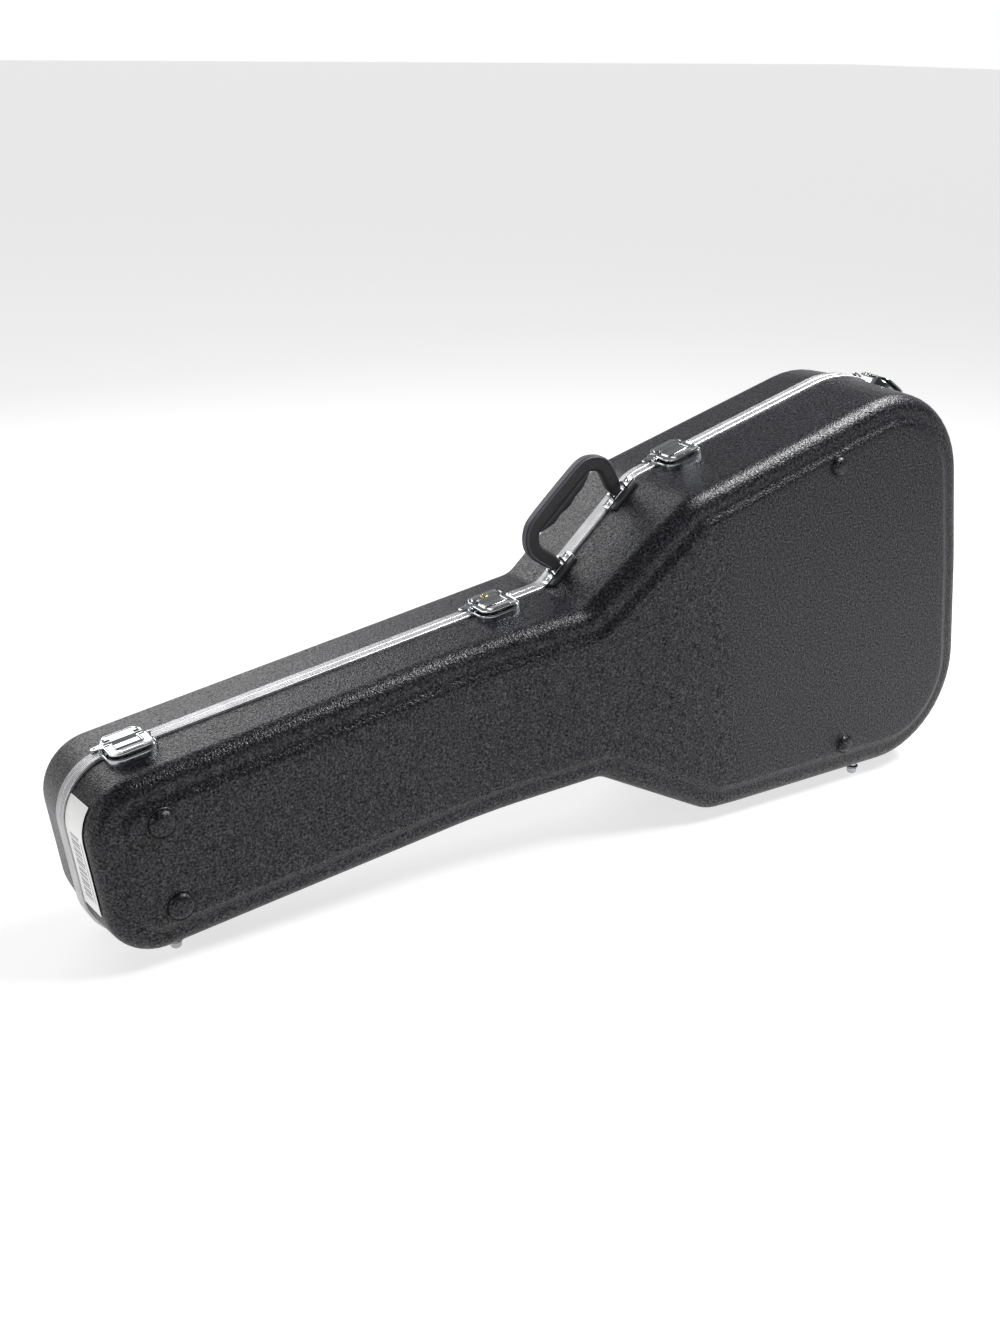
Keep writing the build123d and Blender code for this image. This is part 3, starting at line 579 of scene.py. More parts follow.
def shell(name, depth, side):
    """Outer surface of one shell, thickened inwards. side is -1 for the base, 1 for the lid."""
    rings = []
    for row in shell_rows(depth):
        inset = row(LENGTH * 0.5)[0]
        rings.append([(u, side * row(u)[1], v) for u, v in outline_ring(inset)])
    points = flat(rings)
    faces = bridge(rings)
    border = [(p[0], p[2]) for p in rings[-1]]
    faces += filled(points, (len(rings) - 1) * len(border), border,
                    lambda u, v: (u, side * (depth(u) + PANEL_RISE), v), PANEL_GRID)
    piece = make_object(name, points, faces, TO_ROW, ABS, sharp=60.0)
    solid = piece.modifiers.new("wall", "SOLIDIFY")
    solid.thickness = WALL * MM
    solid.offset = -1.0
    solid.use_even_offset = True
    apply_modifiers(piece)
    return piece


# ------------------------------------------------------------------ valances
RIB_PITCH = 2.7
GROOVE_DEPTH = 1.3


def valance_profile():
    """(out, w) across one valance, with three ribs between shallow grooves."""
    profile = [(-0.8, PARTING_GAP), (VALANCE_PROUD - 0.5, PARTING_GAP), (VALANCE_PROUD, PARTING_GAP + 0.5)]
    for k in range(3):
        middle = 2.25 + RIB_PITCH * k
        profile += [(VALANCE_PROUD, middle - 0.85), (VALANCE_PROUD - GROOVE_DEPTH, middle - 0.55),
                    (VALANCE_PROUD - GROOVE_DEPTH, middle + 0.55), (VALANCE_PROUD, middle + 0.85)]
    profile += [(VALANCE_PROUD, VALANCE_HALF - 0.7), (VALANCE_PROUD - 0.6, VALANCE_HALF),
                (-1.2, VALANCE_HALF)]
    return profile


def valance(name, side):
    rings = [[(u, side * w, v) for u, v in outline_ring(-out)] for out, w in valance_profile()]
    faces = bridge(rings + [rings[0]])
    size = len(rings[0])
    count = len(rings) * size
    faces = [tuple(i % count for i in face) for face in faces]
    return make_object(name, flat(rings), faces, TO_ROW, ALUMINIUM, sharp=25.0)


place(shell("shell_base", base_depth, -1), "case_base", "shell_abs", "base_shell")
place(shell("shell_lid", lid_depth, 1), "case_lid", "shell_abs", "lid_shell")
place(valance("valance_base", -1), "case_base", "valance_aluminium", "base_valance")
place(valance("valance_lid", 1), "case_lid", "valance_aluminium", "lid_valance")

# ------------------------------------------------------------------ latches
PLATE_CORNERS = [(-26.0, -0.4, 2.0), (26.0, -0.4, 2.0), (26.0, -36.0, 16.0), (-26.0, -36.0, 16.0)]
LEVER_CORNERS = [(-22.2, -5.0, 2.0), (-13.0, -5.0, 1.2), (-13.0, -19.6, -1.5), (13.0, -19.6, -1.5),
                 (13.0, -5.0, 1.2), (22.2, -5.0, 2.0), (22.2, -35.0, 12.0), (-22.2, -35.0, 12.0)]
HASP_CORNERS = [(-15.5, 13.0, 4.0), (15.5, 13.0, 4.0), (21.0, 4.0, 5.0), (20.0, -3.0, 1.5),
                (-20.0, -3.0, 1.5), (-21.0, 4.0, 5.0)]
CATCH_CORNERS = [(-17.0, 18.0, 5.0), (17.0, 18.0, 5.0), (23.5, 9.0, 6.0), (23.0, 0.4, 1.0),
                 (-23.0, 0.4, 1.0), (-23.5, 9.0, 6.0)]


def across(matrix, x):
    """Frame for a profile in the y-z plane that is drawn out along x, starting at x."""
    return matrix @ Matrix(((0, 0, 1, x), (1, 0, 0, 0), (0, 1, 0, 0), (0, 0, 0, 1)))


def rod_piece(name, matrix, x0, x1, y, z, radius, material, steps=20):
    """Round bar along x with slightly domed ends."""
    frame_x = across(matrix, x0) @ Matrix.Translation((y, z, 0.0))
    length = x1 - x0
    edge = min(0.25 * radius, 0.5)
    profile = [(radius * 0.5, -edge * 0.4), (radius - edge, 0.0), (radius, edge), (radius, length - edge),
               (radius - edge, length), (radius * 0.5, length + edge * 0.4)]
    return lathe(profile, frame_x, name, material, steps)


def rivet(name, matrix, x, y, z, radius, material=CHROME):
    spot = matrix @ Matrix.Translation((x, y, z))
    profile = [(radius * 1.02, -0.6), (radius, 0.1), (radius * 0.9, 0.45), (radius * 0.66, 0.78),
               (radius * 0.35, 0.95), (radius * 0.12, 1.0)]
    return lathe(profile, spot, name, material, 20, 60.0)


def lever_lift(x, y):
    """The finger edge curls up and the lever bows slightly across."""
    return 1.5 * ease((-y - 21.0) / 15.0) - 0.9 * (x / 22.0) ** 2 * ease((-y - 16.0) / 12.0)


def make_latch(number):
    frame_l = latch_matrix(number)
    tag = f"latch{number}"
    dish = formed(f"{tag}_dish", PLATE_CORNERS,
                  [(0.0, -6.5), (0.0, 0.8), (0.15, 2.0), (0.5, 2.7), (1.0, 2.95), (1.5, 2.7), (1.8, 1.9),
                   (2.1, 1.0), (2.8, 0.6)], frame_l, CHROME)
    # Black insert inside the dish under the lever: painted shade of the gap beneath the lever.
    painted_shade_pocket = formed(f"{tag}_well", [(-22.0, -12.0, 2.0), (22.0, -12.0, 2.0), (22.0, -33.0, 12.5),
                                  (-22.0, -33.0, 12.5)],
                  [(0.0, 0.4), (0.0, 0.9), (0.3, 1.1)], frame_l, BLACK_AND_PAINTED_SHADE)
    ears = []
    for side in (-1, 1):
        profile = [(-10.4, -0.5, 0.8), (-10.4, 7.4, 2.6), (-4.0, 7.4, 2.6), (-4.0, -0.5, 0.8)]
        x = 22.6 if side > 0 else -25.0
        ears.append(formed(f"{tag}_ear", profile, [(0.4, 0.0), (0.0, 0.4), (0.0, 2.0), (0.4, 2.4)],
                           across(frame_l, x), CHROME, segment=1.5))
    base = join(f"{tag}_plate", [dish, painted_shade_pocket] + ears)
    place(base, "case_base", "chrome_hardware", f"latch_{number}_plate")

    lever = formed(f"{tag}_lever_top", LEVER_CORNERS,
                   [(1.4, 5.2), (0.5, 5.2), (0.0, 5.7), (0.0, 6.6), (0.3, 7.15), (0.9, 7.4), (1.5, 7.25),
                    (2.1, 6.8), (2.9, 6.7)], frame_l, CHROME, lift=lever_lift, arc_steps=6)
    raised = formed(f"{tag}_lever_emboss", [(-14.5, -21.6, 2.0), (14.5, -21.6, 2.0), (12.5, -31.0, 4.0),
                                            (-12.5, -31.0, 4.0)],
                    [(0.0, 6.2), (0.0, 6.7), (0.5, 7.15), (1.2, 7.3)], frame_l, CHROME, lift=lever_lift)
    arms = []
    for side in (-1, 1):
        x = 13.6 if side > 0 else -22.0
        profile = [(-11.0, 3.0, 1.5), (-11.0, 6.4, 1.0), (-4.9, 6.4, 1.6), (-4.9, 2.6, 1.8)]
        arms.append(formed(f"{tag}_arm", profile, [(0.3, 0.0), (0.0, 0.3), (0.0, 8.1), (0.3, 8.4)],
                           across(frame_l, x), CHROME, segment=1.5))
    place(join(f"{tag}_lever", [lever, raised] + arms), f"latch_{number}_lever", "chrome_hardware",
          f"latch_{number}_lever")
    place(rod_piece(f"{tag}_hasp_pin", frame_l, -17.6, 17.6, *HASP_PIVOT, 1.0, STEEL),
          f"latch_{number}_lever", "steel_pins", f"latch_{number}_hasp_pin")
    pins = [rod_piece(f"{tag}_pin", frame_l, *span, *LEVER_PIVOT, 1.2, STEEL)
            for span in ((-25.9, -13.6), (13.6, 25.9))]
    heads = [rod_piece(f"{tag}_pin_head", frame_l, *span, *LEVER_PIVOT, 2.0, CHROME)
             for span in ((-26.2, -25.1), (25.1, 26.2))]
    place(join(f"{tag}_lever_pins", pins + heads), "case_base", "steel_pins", f"latch_{number}_lever_pins")

    make_hasp(number, frame_l, tag)
    make_catch(number, frame_l, tag)


def make_hasp(number, frame_l, tag):
    locked = number == LOCKED_LATCH
    plate = formed(f"{tag}_hasp_plate", HASP_CORNERS,
                   [(0.9, 6.3), (0.2, 6.4), (0.0, 6.9), (0.0, 7.5), (0.3, 7.95), (0.9, 8.15), (1.7, 8.1),
                    (2.2, 7.8), (3.0, 7.7), (3.4, 7.9), (3.9, 8.5), (4.6, 8.8), (5.5, 8.85)], frame_l,
                   CHROME)
    tongue = [(-18.1, 2.6, 1.9), (-18.1, 6.6, 1.9), (-9.0, 6.5, -4.0), (-3.4, 8.6, 2.0), (1.5, 8.6, 0.4),
              (1.5, 6.4, 0.4), (-2.6, 6.4, -2.0), (-6.0, 3.2, 1.0)]
    arm = formed(f"{tag}_tongue", tongue, [(0.5, 0.0), (0.1, 0.3), (0.0, 0.7), (0.0, 24.3), (0.1, 24.7),
                                           (0.5, 25.0)],
                 across(frame_l, -12.5), CHROME, segment=1.5, spacing=2.0)
    # Black plates just proud of the hasp: painted shade standing in for the slot openings.
    painted_slot_shades = []
    for side in (-1, 1):
        slot = [(side * 17.2 - 1.1, 7.5, 1.0), (side * 17.2 + 1.1, 7.5, 1.0), (side * 17.2 + 1.1, 0.0, 1.0),
                (side * 17.2 - 1.1, 0.0, 1.0)]
        painted_slot_shades.append(formed(f"{tag}_hasp_slot_painted_shade", slot, [(0.0, 7.6), (0.0, 8.16), (0.1, 8.2)], frame_l, BLACK_AND_PAINTED_SHADE,
                            segment=1.5))
    place(join(f"{tag}_hasp", [plate, arm] + painted_slot_shades), f"latch_{number}_hasp", "chrome_hardware",
          f"latch_{number}_hasp")
    if locked:
        spot = frame_l @ Matrix.Translation((0.0, 4.0, 0.0))
        barrel = lathe([(4.1, 6.7), (4.1, 9.1), (3.7, 9.5), (3.1, 9.55), (2.9, 9.3), (2.6, 9.3),
                        (0.6, 9.35)],
                       spot, "lock_barrel", BRASS, 32)
        # Black plate on the barrel's face: painted shade standing in for the keyway.
        slot = formed("lock_keyway_painted_shade", [(-2.1, 0.5, 0.3), (2.1, 0.5, 0.3), (2.1, -0.5, 0.3),
                                        (-2.1, -0.5, 0.3)],
                      [(0.0, 9.0), (0.0, 9.4), (0.1, 9.42)], spot, BLACK_AND_PAINTED_SHADE, segment=1.5)
        place(join("lock", [barrel, slot]), "key_lock", "lock_brass", "lock_cylinder")


def make_catch(number, frame_l, tag):
    plate = formed(f"{tag}_catch_plate", CATCH_CORNERS,
                   [(0.0, -6.5), (0.0, 0.4), (0.3, 1.0), (0.9, 1.35), (1.6, 1.3), (2.2, 1.0), (3.2, 0.95)],
                   frame_l, CHROME)
    keeper = formed(f"{tag}_keeper", [(-11.0, 10.0, 1.5), (11.0, 10.0, 1.5), (11.0, 4.0, 1.5),
                                      (-11.0, 4.0, 1.5)],
                    [(0.0, 0.5), (0.0, 5.2), (0.7, 5.9), (1.4, 6.0)], frame_l, CHROME)
    tab = formed(f"{tag}_tab", [(-30.5, 12.0, 3.2), (-20.0, 13.5, 1.5), (-20.0, 2.5, 1.5),
                                (-30.5, 4.0, 3.2)],
                 [(0.4, -0.8), (0.0, -0.4), (0.0, 1.0), (0.4, 1.5), (1.0, 1.7)], frame_l, CHROME)
    # Black disc on the tab: painted shade standing in for the tab's hole.
    hole_shade_disc = lathe([(1.7, 0.8), (1.7, 1.74), (1.5, 1.78)], frame_l @ Matrix.Translation((-26.6, 8.0, 0.0)),
                 f"{tag}_tab_hole_shade_disc", BLACK_AND_PAINTED_SHADE, 20)
    heads = [rivet(f"{tag}_catch_rivet", frame_l, side * 12.5, 15.2, 1.0, 1.9) for side in (-1, 1)]
    place(join(f"{tag}_catch", [plate, keeper, tab, hole_shade_disc] + heads), "case_lid", "chrome_hardware",
          f"latch_{number}_catch")


for number in LATCHES:
    make_latch(number)
rivets = []
for number in LATCHES:
    rivets += [rivet("plate_rivet", latch_matrix(number), side * 18.0, -30.0, 0.9, 2.0) for side in (-1, 1)]
place(join("latch_plate_rivets", rivets), "case_base", "steel_pins", "latch_rivets")


# ------------------------------------------------------------------ carry handle
BOW_SPINE = [(-54.0, 2.6), (-54.0, 6.0), (-54.6, 14.0), (-56.8, 24.0), (-59.2, 34.0), (-59.4, 42.0),
             (-56.6, 49.0),
             (-51.0, 55.5), (-43.5, 60.0), (-33.0, 61.4), (-17.0, 61.7), (0.0, 61.8)]
BOW_SPINE += [(-x, z) for x, z in reversed(BOW_SPINE[:-1])]


WELT_RADIUS = 1.2
GRIP_REACH = 43.0          # half the grip's length
GRIP_TOP = 53.8            # where the grip meets the bow
GRIP_HALF_WIDTH = 7.6


def smooth_path(points, steps):
    """Catmull-Rom curve through the points: (x, z, dx, dz) with unit directions."""
    out = []
    count = len(points)
    for i in range(count - 1):
        p0, p1, p2, p3 = (Vector(points[max(0, min(count - 1, i + k))]) for k in (-1, 0, 1, 2))
        for k in range(steps):
            t = k / steps
            spot = 0.5 * (2 * p1 + (p2 - p0) * t + (2 * p0 - 5 * p1 + 4 * p2 - p3) * t * t
                          + (3 * p1 - p0 - 3 * p2 + p3) * t ** 3)
            out.append(spot)
    out.append(Vector(points[-1]))
    path = []
    for i, spot in enumerate(out):
        step = (out[min(i + 1, len(out) - 1)] - out[max(i - 1, 0)]).normalized()
        path.append((spot.x, spot.y, step.x, step.y))
    return path


def swept(name, path, section, matrix, material, scale=None, sharp=40.0):
    """Section (out, y) swept along a path in the local x-z plane; out is the left-hand side of the
    path. scale(z, fraction) gives the widening of (out, y)."""
    rings = []
    for i, (x, z, dx, dz) in enumerate(path):
        a, b = scale(z, i / (len(path) - 1)) if scale else (1.0, 1.0)
        rings.append([(x - dz * o * a, y * b + HANDLE_Y, z + dx * o * a) for o, y in section])
    faces = bridge(rings)
    size = len(section)
    faces.append(tuple(range(size)))
    faces.append(tuple(reversed(range((len(rings) - 1) * size, len(rings) * size))))
    return make_object(name, flat(rings), faces, matrix, material, sharp)


def oval_corners(corners, segment=1.2, steps=5):
    return ring_of(corners, 0.0, segment, steps)


def leg_width(z, _):
    """The legs narrow to rounded eyes at the brackets."""
    rise = z - HANDLE_PIVOT_Z
    table = [(-3.0, 0.35), (-2.0, 0.52), (-0.5, 0.62), (3.0, 0.68), (6.0, 0.84), (9.0, 0.95), (12.0, 1.0)]
    wide = table[-1][1]
    for (r0, w0), (r1, w1) in zip(table, table[1:]):
        if rise < r1:
            wide = w0 + (w1 - w0) * max(0.0, (rise - r0)) / (r1 - r0)
            break
    return (min(1.0, 0.76 + 0.02 * max(z - 4.0, 0.0)), wide)


def make_handle():
    frame_h = handle_matrix()
    path = smooth_path(BOW_SPINE, 6)
    outer, inner, half = 8.2, -8.6, 5.5
    body = oval_corners([(outer - 0.4, -half, 2.6), (inner, -half, 3.6), (inner, half, 3.6),
                         (outer - 0.4, half, 2.6)])
    bow = swept("handle_body", path, body, frame_h, BOW_BLACK, leg_width)
    welts = []
    for side in (-1, 1):
        ring = [(outer - 1.4 + WELT_RADIUS * cos(a), side * (half - 0.7) + WELT_RADIUS * sin(a))
                for a in (2 * pi * k / 14 for k in range(14))]
        if side < 0:
            ring = ring[::-1]
        welts.append(swept("handle_welt", path[8:-8], ring, frame_h, PIPING_AND_PAINTED_SHEEN, leg_width, 60.0))
    # The outer face strip and the welts take the lighter piping material, a painted highlight along the bow's
    # outer face.
    strap = oval_corners([(outer + 0.3, -half + 2.1, 0.4), (outer - 1.5, -half + 2.3, 0.4),
                          (outer - 1.5, half - 2.3, 0.4),
                          (outer + 0.3, half - 2.1, 0.4)], 2.0, 4)
    outer_face = swept("handle_outer_face", path[10:-10], strap, frame_h, PIPING_AND_PAINTED_SHEEN, leg_width, 50.0)
    place(join("handle_bow", [bow, outer_face] + welts), "handle", "handle_plastic", "handle_bow")
    make_grip(frame_h)
    for side in (-1, 1):
        make_bracket(frame_h, side)


def grip_thickness(t):
    """Thickness of the grip under the bow; t runs -1 to 1 along it. Finger waves on the inner side."""
    body = (1 - min(1.0, abs(t)) ** 3.2)
    wave = 1.15 * cos(3.2 * pi * t - 0.35) * (1 - t * t)
    return 1.2 + (9.3 + wave) * body


def make_grip(frame_h):
    rings = []
    count = 60
    for i in range(count + 1):
        t = -1 + 2 * i / count
        x = GRIP_REACH * t
        top = GRIP_TOP - 0.8 * t * t
        thick = grip_thickness(t)
        plump = GRIP_HALF_WIDTH - 1.0 * t * t
        ring = []
        for k in range(28):
            a = 2 * pi * k / 28
            c, s = cos(a), sin(a)
            y = plump * (abs(c) ** 0.72) * (1 if c >= 0 else -1)
            z = (abs(s) ** 0.8) * (1 if s >= 0 else -1)
            z = top + z * 1.6 if z > 0 else top + z * thick
            ring.append((x, y + HANDLE_Y, z))
        rings.append(ring)
    faces = bridge(rings)
    faces.append(tuple(range(28)))
    faces.append(tuple(reversed(range(count * 28, (count + 1) * 28))))
    grip = make_object("handle_grip_body", flat(rings), faces, frame_h, GRIP_BLACK, 60.0)
    place(grip, "handle", "handle_soft_grip", "handle_grip")


def make_bracket(frame_h, side):
    x = side * HANDLE_HALF
    corners = [(x - 23.0, HANDLE_Y + 5.4, 2.5), (x + 23.0, HANDLE_Y + 5.4, 2.5),
               (x + 23.0, HANDLE_Y - 6.0, 2.5),
               (x - 23.0, HANDLE_Y - 6.0, 2.5)]
    plate = formed("bracket_plate", corners, [(0.0, -5.0), (0.0, 0.9), (0.2, 1.3), (0.6, 1.5), (1.2, 1.4),
                                              (1.7, 1.2)],
                   frame_h, CHROME)
    pieces = [plate]
    for s in (-1, 1):
        profile = [(HANDLE_Y - 4.5, 0.5, 0.6), (HANDLE_Y - 4.5, 9.2, 3.4), (HANDLE_Y + 4.5, 9.2, 3.4),
                   (HANDLE_Y + 4.5, 0.5, 0.6)]
        ear_x = x + s * 9.4 - 1.3
        pieces.append(formed("bracket_ear", profile, [(0.4, 0.0), (0.0, 0.4), (0.0, 2.2), (0.4, 2.6)],
                             across(frame_h, ear_x), CHROME, segment=1.5))
        pieces.append(formed("bracket_boss", [(x + s * 16.8 - 4.0, HANDLE_Y + 3.6, 3.0),
                                              (x + s * 16.8 + 4.0, HANDLE_Y + 3.6, 3.0),
                                              (x + s * 16.8 + 4.0, HANDLE_Y - 4.2, 3.0),
                                              (x + s * 16.8 - 4.0, HANDLE_Y - 4.2, 3.0)],
                             [(0.0, 1.0), (0.0, 1.4), (0.5, 1.7), (1.2, 1.6), (1.6, 1.3)], frame_h, CHROME))
    place(join(f"handle_bracket_{'ab'[side > 0]}", pieces), "case_base", "chrome_hardware",
          "handle_brackets")
    rivets = [rivet("bracket_rivet", frame_h, x + s * 16.8, HANDLE_Y - 0.3, 1.3, 2.4) for s in (-1, 1)]
    place(join(f"handle_rivets_{'ab'[side > 0]}", rivets), "case_base", "steel_pins", "handle_rivets")
    place(rod_piece(f"handle_pin_{'ab'[side > 0]}", frame_h, x - 11.4, x + 11.4, HANDLE_Y, HANDLE_PIVOT_Z,
                    1.6, STEEL),
          "case_base", "steel_pins", "handle_pins")
    pad_y = HANDLE_Y - 9.2
    pad = formed(f"handle_pad_{'ab'[side > 0]}",
                 [(x - 21.0, pad_y + 3.4, 1.5), (x + 21.0, pad_y + 3.4, 1.5), (x + 21.0, pad_y - 3.8, 3.0),
                                                  (x - 21.0, pad_y - 3.8, 3.0)],
                 [(0.0, -6.0), (0.0, -0.4), (0.5, 0.3), (1.3, 0.7), (2.0, 0.8)], frame_h, BLACK_AND_PAINTED_SHADE)
    place(pad, "case_base", "moulded_black", "handle_pads")


make_handle()


# ------------------------------------------------------------------ feet and studs
def upright(point):
    """Frame at a case-frame point with z up in the row frame, in millimetres."""
    return Matrix.Translation(TO_ROW @ Vector(point)) @ Matrix.Scale(MM, 4)


STUD_PROFILE = [(0.4, 0.0), (2.4, 0.12), (3.9, 0.6), (5.0, 1.5), (5.7, 2.7), (6.0, 4.2), (6.0, 7.2),
                (5.2, 7.8),
                (5.2, 8.8), (7.4, 9.2), (7.8, 9.9), (7.4, 10.6), (5.0, 11.0), (5.0, 24.0)]
STUD_U, STUD_TIP = (70.0, 932.0), (-116.0, -243.0)
for shell_name, levels in (("base", (-34.0, -88.0)), ("lid", (34.0, 56.0))):
    made = [lathe(STUD_PROFILE, upright((u, y, tip)), "stud", CHROME, 36) for u, y,
            tip in zip(STUD_U, levels, STUD_TIP)]
    place(join(f"studs_{shell_name}", made), f"case_{shell_name}", "chrome_hardware",
          f"side_studs_{shell_name}")

FOOT_PROFILE = [(16.5, -3.0), (16.5, 0.4), (16.1, 0.8), (15.0, 0.8), (14.4, 0.3), (13.8, 0.3), (13.5, 1.0),
                (13.0, 2.3),
                (12.0, 3.6), (10.3, 4.7), (8.0, 5.4), (5.0, 5.85), (2.5, 6.0), (0.3, 6.0)]
feet = []
for u, v, size in FACE_FEET:
    profile = [(radius * size, height) for radius, height in FOOT_PROFILE]
    for sign in (1, -1):
        level = -(base_depth(u) + PANEL_RISE)
        facing = TO_ROW @ Matrix.Translation((u, level, sign * v)) @ Matrix.Rotation(pi / 2, 4, "X")
        feet.append(lathe(profile, facing, "face_foot", FOOT_BLACK, 40))
place(join("face_feet_black", feet), "case_base", "moulded_black", "face_feet")


# ------------------------------------------------------------------ end label
def end_wall(inset):
    """(v, u) along the neck end of the outline when it is moved in by inset."""
    return sorted((v, u) for u, v in outline_ring(inset) if u < 60.0)


def wall_u(line, v):
    for (v0, u0), (v1, u1) in zip(line, line[1:]):
        if v0 <= v <= v1:
            return u0 + (u1 - u0) * (v - v0) / max(v1 - v0, 0.001)
    return line[-1][1]


def label_patch(name, v0, v1, w0, w1, out, material):
    """Rectangle of the sticker between two heights and two depths, lying on the end wall."""
    rows, columns = 6, max(1, int((v1 - v0) / 4.0))
    points = []
    for i in range(rows + 1):
        w = w0 + (w1 - w0) * i / rows
        line = end_wall(DRAFT * w - out)
        for k in range(columns + 1):
            v = v0 + (v1 - v0) * k / columns
            points.append((wall_u(line, v), -w, v))
    wide = columns + 1
    faces = [(i * wide + k, i * wide + k + 1, (i + 1) * wide + k + 1, (i + 1) * wide + k)
             for i in range(rows) for k in range(columns)]
    return make_object(name, points, faces, TO_ROW, material)


LABEL_V = (-40.0, 76.0)
LABEL_W = (10.6, 50.0)
parts = [label_patch("label_sheet", *LABEL_V, *LABEL_W, 0.3, LABEL_WHITE)]
bar_v = LABEL_V[0] + 12.0
for k in range(20):
    width = (1.0, 1.8, 2.6)[(k * 7 + 3) % 3]
    parts.append(label_patch("label_bar", bar_v, bar_v + width, LABEL_W[0] + 9.0, LABEL_W[1] - 11.0, 0.38,
                             LABEL_GREY))
    bar_v += width + (1.4, 2.4)[k % 2]
parts.append(label_patch("label_line", LABEL_V[0] + 12.0, LABEL_V[1] - 36.0, LABEL_W[1] - 7.0,
                         LABEL_W[1] - 5.4, 0.38,
                         LABEL_GREY))
place(join("end_label_sticker", parts), "case_base", "label", "end_label")


# ------------------------------------------------------------------ soft lining
LINING_VOXEL = 0.005
LINING_ROUNDS = 9          # smoothing steps that roll the plush over the foam's edges
CRADLE_VOXEL = 0.004
FLAP_VOXEL = 0.0016
PUFF_PRESSURE = 4.0
PUFF_FRAMES = 20


def soft_copy(name, node, voxel, rounds):
    """A CAD node's form in an even mesh, with its edges rolled like cloth over foam."""
    piece = bpy.data.objects.new(name, frame["nodes"][node].data.copy())
    bpy.context.scene.collection.objects.link(piece)
    remesh = piece.modifiers.new("even", "REMESH")
    remesh.mode = "VOXEL"
    remesh.voxel_size = voxel
    remesh.use_smooth_shade = True
    rolled = piece.modifiers.new("rolled", "SMOOTH")
    rolled.iterations = rounds
    apply_modifiers(piece)
    piece.data.materials.clear()
    piece.data.materials.append(PLUSH)
    return piece


def puffed(piece, cap):
    """Blows the cloth up a little; it may rise towards the lid by cap metres and stays put below."""
    rest = [vertex.co.copy() for vertex in piece.data.vertices]
    cloth = piece.modifiers.new("puff", "CLOTH")
    cloth.settings.use_pressure = True
    cloth.settings.uniform_pressure_force = PUFF_PRESSURE
    cloth.settings.effector_weights.gravity = 0.0
    cloth.point_cache.frame_start = 1
    cloth.point_cache.frame_end = PUFF_FRAMES
    for step in range(1, PUFF_FRAMES + 1):
        bpy.context.scene.frame_set(step)
    apply_modifiers(piece)
    bpy.context.scene.frame_set(1)
    for vertex, start in zip(piece.data.vertices, rest):
        move = vertex.co - start
        move.y = max(move.y, 0.0)
        vertex.co = start + (move.normalized() * cap if move.length > cap else move)
    finer = piece.modifiers.new("finer", "SUBSURF")
    finer.levels = finer.render_levels = 1
    apply_modifiers(piece)
    return piece


base_pad = soft_copy("lining_base_plush", "base_lining", LINING_VOXEL, LINING_ROUNDS)
lid_pad = soft_copy("lining_lid_plush", "lid_lining", LINING_VOXEL, LINING_ROUNDS)
cradle_pad = puffed(soft_copy("neck_cradle_plush", "neck_cradle", CRADLE_VOXEL, 5), 0.004)
flap_pad = puffed(soft_copy("accessory_flap_plush", "accessory_lid", FLAP_VOXEL, 3), 0.0015)
for piece, body, node, fill in ((base_pad, "case_base", "base_lining", 0.9),
                                (lid_pad, "case_lid", "lid_lining", 0.9),
                                (cradle_pad, "case_base", "neck_cradle", 0.8),
                                (flap_pad, "accessory_flap", "accessory_lid", 0.8)):
    place(piece, body, "plush_lining", node)


# ------------------------------------------------------------------ CAD pieces that stay
FINISHES = {"shell_abs": ABS, "moulded_black": BLACK_AND_PAINTED_SHADE, "valance_aluminium": ALUMINIUM,
            "chrome_hardware": CHROME,
            "steel_pins": STEEL, "lock_brass": BRASS, "handle_plastic": BOW_BLACK,
            "handle_soft_grip": GRIP_BLACK,
            "plush_lining": PLUSH, "label": LABEL_WHITE}
node_slots = {part["node"]: part["material_slot"] for part in frame["record"]["subparts"]}
for name, piece in frame["nodes"].items():
    if not piece.hide_render and name in node_slots:
        piece.data.materials.clear()
        piece.data.materials.append(FINISHES[node_slots[name]])


# ------------------------------------------------------------------ studio
FLOOR_REACH = 40.0
FLOOR_SHADE = 0.38
FLOOR_GLOW = 0.72
SENSOR_HEIGHT = 36.0
LENS_LENGTH = 44.14
CAMERA_SPOT = Vector((-0.4202, -1.3702, 0.7490))
CAMERA_AZIMUTH, CAMERA_DIP, CAMERA_ROLL = -0.5857, 0.3708, 0.017     # radians
LAMPS = (
    # name, place, aim, size, power
    ("back_softbox", (-0.45, 1.7, 1.35), (-0.4, 0.0, 0.2), (1.7, 1.1), 23.0),
    ("top_softbox", (1.05, -0.5, 1.85), (0.0, 0.0, 0.25), (1.4, 0.5), 84.0),
    ("fill", (-2.6, -1.6, 1.6), (0.0, 0.0, 0.2), (1.2, 1.2), 3.0),
    ("end_fill", (-3.0, -0.3, 1.2), (-0.5, 0.0, 0.2), (0.8, 0.8), 14.0),
)
def area_light(name, spot, aim, size, power, colour=(1.0, 1.0, 1.0)):
    lamp = bpy.data.lights.new(name, "AREA")
    lamp.shape = "RECTANGLE"
    lamp.size, lamp.size_y = size
    lamp.energy = power
    lamp.color = colour
    piece = bpy.data.objects.new(name, lamp)
    bpy.context.scene.collection.objects.link(piece)
    piece.location = spot
    piece.rotation_euler = (Vector(aim) - Vector(spot)).to_track_quat("-Z", "Y").to_euler()
    return piece


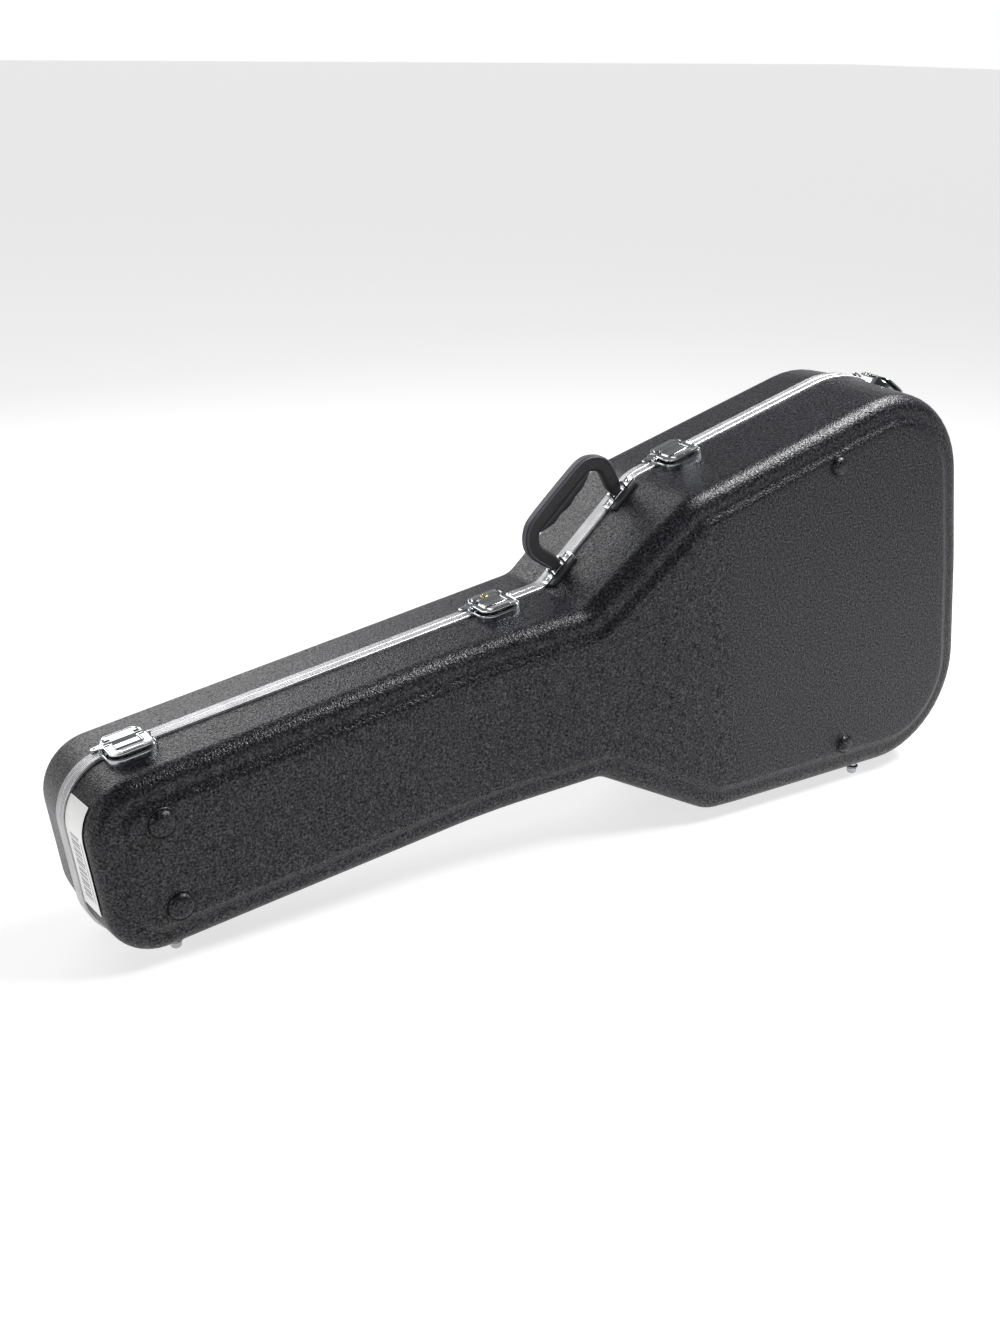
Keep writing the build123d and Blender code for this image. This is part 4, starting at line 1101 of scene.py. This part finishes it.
def studio():
    scene = bpy.context.scene
    floor_mesh = bpy.data.meshes.new("floor")
    corners = [(FLOOR_REACH * x, FLOOR_REACH * y, 0) for x, y in ((-1, -1), (1, -1), (1, 1), (-1, 1))]
    floor_mesh.from_pydata(corners, [], [(0, 1, 2, 3)])
    floor = bpy.data.objects.new("floor", floor_mesh)
    scene.collection.objects.link(floor)
    material, nodes, links = new_material("studio_floor")
    shader = shader_of(nodes)
    shader.inputs["Base Color"].default_value = (FLOOR_SHADE,) * 3 + (1.0,)
    shader.inputs["Emission Color"].default_value = (1.0, 1.0, 1.0, 1.0)
    shader.inputs["Emission Strength"].default_value = FLOOR_GLOW
    shader.inputs["Roughness"].default_value = 0.9
    shader.inputs["Specular IOR Level"].default_value = 0.2
    floor_mesh.materials.append(material)

    world = bpy.data.worlds.new("studio_world")
    world.use_nodes = True
    nodes, links = world.node_tree.nodes, world.node_tree.links
    split = nodes.new("ShaderNodeSeparateXYZ")
    links.new(nodes.new("ShaderNodeTexCoord").outputs["Generated"], split.inputs["Vector"])
    backdrop = ramp(nodes, links, split.outputs["Y"], [(0.0, (0.17,) * 3), (0.35, (1.0,) * 3)])
    ceiling = ramp(nodes, links, split.outputs["Z"], [(0.12, (1.0,) * 3), (0.40, (0.30,) * 3)])
    sky = nodes.new("ShaderNodeMix")
    sky.data_type = "RGBA"
    sky.blend_type = "MULTIPLY"
    sky.inputs["Factor"].default_value = 1.0
    links.new(backdrop, sky.inputs["A"])
    links.new(ceiling, sky.inputs["B"])
    links.new(sky.outputs["Result"], nodes["Background"].inputs["Color"])
    nodes["Background"].inputs["Strength"].default_value = 1.0
    scene.world = world
    for lamp in LAMPS:
        area_light(*lamp)

    lens = bpy.data.cameras.new("camera")
    camera = bpy.data.objects.new("camera", lens)
    scene.collection.objects.link(camera)
    lens.sensor_fit = "VERTICAL"
    lens.sensor_height = SENSOR_HEIGHT
    lens.lens = LENS_LENGTH
    lens.clip_start = 0.01
    turn = (Matrix.Rotation(CAMERA_AZIMUTH, 4, "Z") @ Matrix.Rotation(pi / 2 - CAMERA_DIP, 4, "X")
            @ Matrix.Rotation(CAMERA_ROLL, 4, "Z"))
    camera.matrix_world = Matrix.Translation(CAMERA_SPOT + TO_ROW.translation) @ turn
    scene.camera = camera
    scene.view_settings.view_transform = "Standard"


studio()
